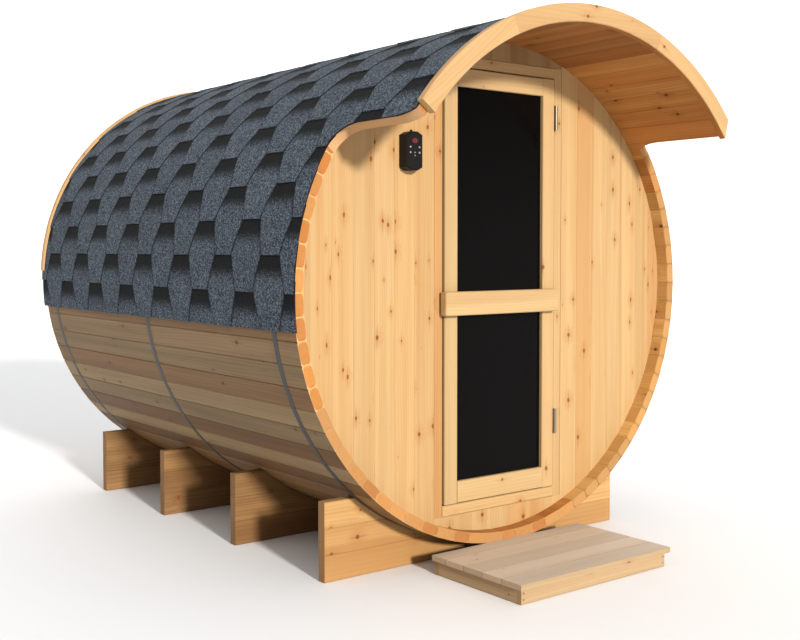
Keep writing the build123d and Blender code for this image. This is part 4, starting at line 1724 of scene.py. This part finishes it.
@dataclass(frozen=True)
class ControlUnit:
    """The black control box on the front wall, with plain keys, a lit display and a cable stub."""

    key_aside: float = 0.021
    key_rows: tuple[float, ...] = (0.014, -0.006)
    key_size: tuple[float, float] = (0.0038, 0.0036)
    small_rows: tuple[float, ...] = (-0.006, -0.017)
    small_size: tuple[float, float] = (0.0026, 0.0022)
    display_rise: float = 0.037
    display_size: tuple[float, float] = (0.0130, 0.0095)
    stub_radius: float = 0.005
    stub_height: float = 0.007
    stub_shares: tuple[float, float] = (-0.3, 1.0)
    proud: float = 0.0006

    def build(self) -> None:
        """Dress the box and its face, and make the keys, the display and the stub."""
        dress_node("control_housing", CONTROL_BLACK)
        dress_node("control_keypad", KEYPAD_BLACK)
        low, high = corners("control_keypad")
        middle = (low + high) / 2
        across, height = np.meshgrid([-self.key_aside, self.key_aside], self.key_rows)
        keys = np.stack([middle[0] + across.ravel(), middle[2] + height.ravel()], axis=-1)
        rows = middle[2] + np.array(self.small_rows)
        small = np.stack([np.full(len(rows), middle[0]), rows], axis=-1)
        marks = Boards("control_keys").add(discs(keys, low[1], *self.key_size, self.proud))
        marks.add(discs(small, low[1], *self.small_size, self.proud))
        dress(marks.mesh_object(), KEY_WHITE)
        lit = np.array([[middle[0], middle[2] + self.display_rise]])
        display = Boards("control_display").add(discs(lit, low[1], *self.display_size, self.proud))
        dress(display.mesh_object(), DISPLAY_RED)

        box_low, box_high = corners("control_housing")
        turn = np.linspace(0, 2 * np.pi, 16, endpoint=False)
        stub = np.zeros((1, 2, len(turn), 3))
        stub[..., 0] = middle[0] + self.stub_radius * np.cos(turn)
        stub[..., 1] = (box_low[1] + box_high[1]) / 2 + self.stub_radius * np.sin(turn)
        stub[..., 2] = box_high[2] + self.stub_height * np.array(self.stub_shares)[None, :, None]
        dress(Boards("control_stub").add(stub).mesh_object(), CONTROL_BLACK)


@dataclass(frozen=True)
class Studio:
    """A pale floor that curves up behind, soft light from the front left and the camera."""

    floor_reach: float = 18.0
    floor_half: float = 40.0
    floor_curve: float = 4.0
    floor_rise: float = 14.0
    floor_drop: float = 0.001
    camera_place: tuple[float, float, float] = (-2.9988, -4.0788, 1.2148)
    camera_tilt: float = -2.07
    camera_turn: float = -37.896
    lens: float = 49.785
    shift_y: float = -0.0386
    sun_height: float = 16.0
    sun_turn: float = -9.0
    sun_strength: float = 4.6
    sun_spread: float = 5.0
    sun_colour: tuple[float, float, float] = (1.0, 0.96, 0.90)
    sky_from: float = 0.25
    sky_low: float = 0.10
    sky_high: float = 1.25
    haze: float = 0.9
    haze_top: float = 0.14

    def backdrop(self) -> None:
        """Make the floor: a straight, quarter-round and upright line carried sideways.

        The line runs away from the camera, so the profile's distance d becomes
        (d sin(turn), d cos(turn)) and the sideways place s adds (s cos(turn), -s sin(turn)).
        """
        turn = math.radians(-self.camera_turn)
        bend = np.linspace(0, np.pi / 2, 17)
        start = self.floor_reach - self.floor_curve
        away = start + self.floor_curve * np.sin(bend)
        away = np.concatenate([[-self.floor_half], away, [self.floor_reach]])
        rise = self.floor_curve * (1 - np.cos(bend))
        rise = np.concatenate([[0.0], rise, [self.floor_rise]]) - self.floor_drop
        aside = np.array([-self.floor_half, self.floor_half])
        away, aside = np.meshgrid(away, aside, indexing="ij")
        points = np.stack(
            [
                away * math.sin(turn) + aside * math.cos(turn),
                away * math.cos(turn) - aside * math.sin(turn),
                np.repeat(rise[:, None], 2, axis=1),
            ],
            axis=-1,
        )
        index = np.arange(points.shape[0] * 2).reshape(-1, 2)
        quads = np.stack([index[:-1, 0], index[:-1, 1], index[1:, 1], index[1:, 0]], axis=-1)
        mesh = bpy.data.meshes.new("floor")
        mesh.from_pydata(points.reshape(-1, 3).tolist(), [], quads.tolist())
        mesh.shade_smooth()
        mesh.materials.append(FLOOR_PALE.material())
        floor = bpy.data.objects.new("floor", mesh)
        bpy.context.scene.collection.objects.link(floor)

    def light(self) -> None:
        """Make a sky that is brighter overhead and along the horizon, white where seen, and a soft sun."""
        world = bpy.data.worlds.new("sky")
        world.use_nodes = True
        nodes, links = world.node_tree.nodes, world.node_tree.links
        place = nodes.new("ShaderNodeTexCoord")
        height = nodes.new("ShaderNodeSeparateXYZ")
        strength = nodes.new("ShaderNodeMapRange")
        strength.inputs["From Min"].default_value = self.sky_from
        strength.inputs["To Min"].default_value = self.sky_low
        strength.inputs["To Max"].default_value = self.sky_high
        haze = nodes.new("ShaderNodeMapRange")
        haze.inputs["From Max"].default_value = self.haze_top
        haze.inputs["To Min"].default_value = self.haze
        haze.inputs["To Max"].default_value = self.sky_low
        brighter = nodes.new("ShaderNodeMath")
        brighter.operation = "MAXIMUM"
        seen = nodes.new("ShaderNodeLightPath")
        plain = nodes.new("ShaderNodeMath")
        plain.operation = "MAXIMUM"
        background = nodes["Background"]
        background.inputs["Color"].default_value = (1.0, 1.0, 1.0, 1.0)
        links.new(place.outputs["Generated"], height.inputs[0])
        links.new(height.outputs["Z"], strength.inputs["Value"])
        links.new(height.outputs["Z"], haze.inputs["Value"])
        links.new(strength.outputs["Result"], brighter.inputs[0])
        links.new(haze.outputs["Result"], brighter.inputs[1])
        links.new(brighter.outputs[0], plain.inputs[0])
        links.new(seen.outputs["Is Camera Ray"], plain.inputs[1])
        links.new(plain.outputs[0], background.inputs["Strength"])
        bpy.context.scene.world = world
        bpy.context.scene.view_settings.view_transform = "Standard"

        lamp = bpy.data.lights.new("sun", "SUN")
        lamp.energy = self.sun_strength
        lamp.angle = math.radians(self.sun_spread)
        lamp.color = self.sun_colour
        sun = bpy.data.objects.new("sun", lamp)
        sun.rotation_euler = (math.radians(90 - self.sun_height), 0.0, math.radians(self.sun_turn))
        bpy.context.scene.collection.objects.link(sun)

    def build(self) -> None:
        """Make the floor, the light and the camera."""
        self.backdrop()
        self.light()
        lens = bpy.data.cameras.new("camera")
        lens.lens = self.lens
        lens.sensor_width = 36.0
        lens.shift_y = self.shift_y
        camera = bpy.data.objects.new("camera", lens)
        camera.location = self.camera_place
        camera.rotation_euler = (math.radians(90 + self.camera_tilt), 0.0, math.radians(self.camera_turn))
        bpy.context.scene.collection.objects.link(camera)
        bpy.context.scene.camera = camera


def main() -> None:
    """Build the sub-assemblies in order, then the studio."""
    logging.basicConfig(level=logging.INFO, format="%(name)s: %(message)s")
    barrel = BARREL
    saws = {
        Side.LEFT: CanopySaw(barrel, Side.LEFT, edge_share=0.553, lean=50.0, front_rise=0.030),
        Side.RIGHT: CanopySaw(barrel, Side.RIGHT, edge_share=0.598, lean=14.0, front_rise=0.0),
    }
    Staves(barrel, saws).build()
    EndWalls(barrel).build()
    DoorFrame().build()
    DoorLeaf().build()
    Metalwork().build()
    Fascias(barrel, saws[Side.RIGHT]).build()
    ShingleRoof(barrel, saws).build()
    Cradles(barrel).build()
    FloorGrating().build()
    EntranceStep().build()
    ControlUnit().build()
    Studio().build()
    bpy.context.view_layer.update()


if __name__ == "__main__":
    main()
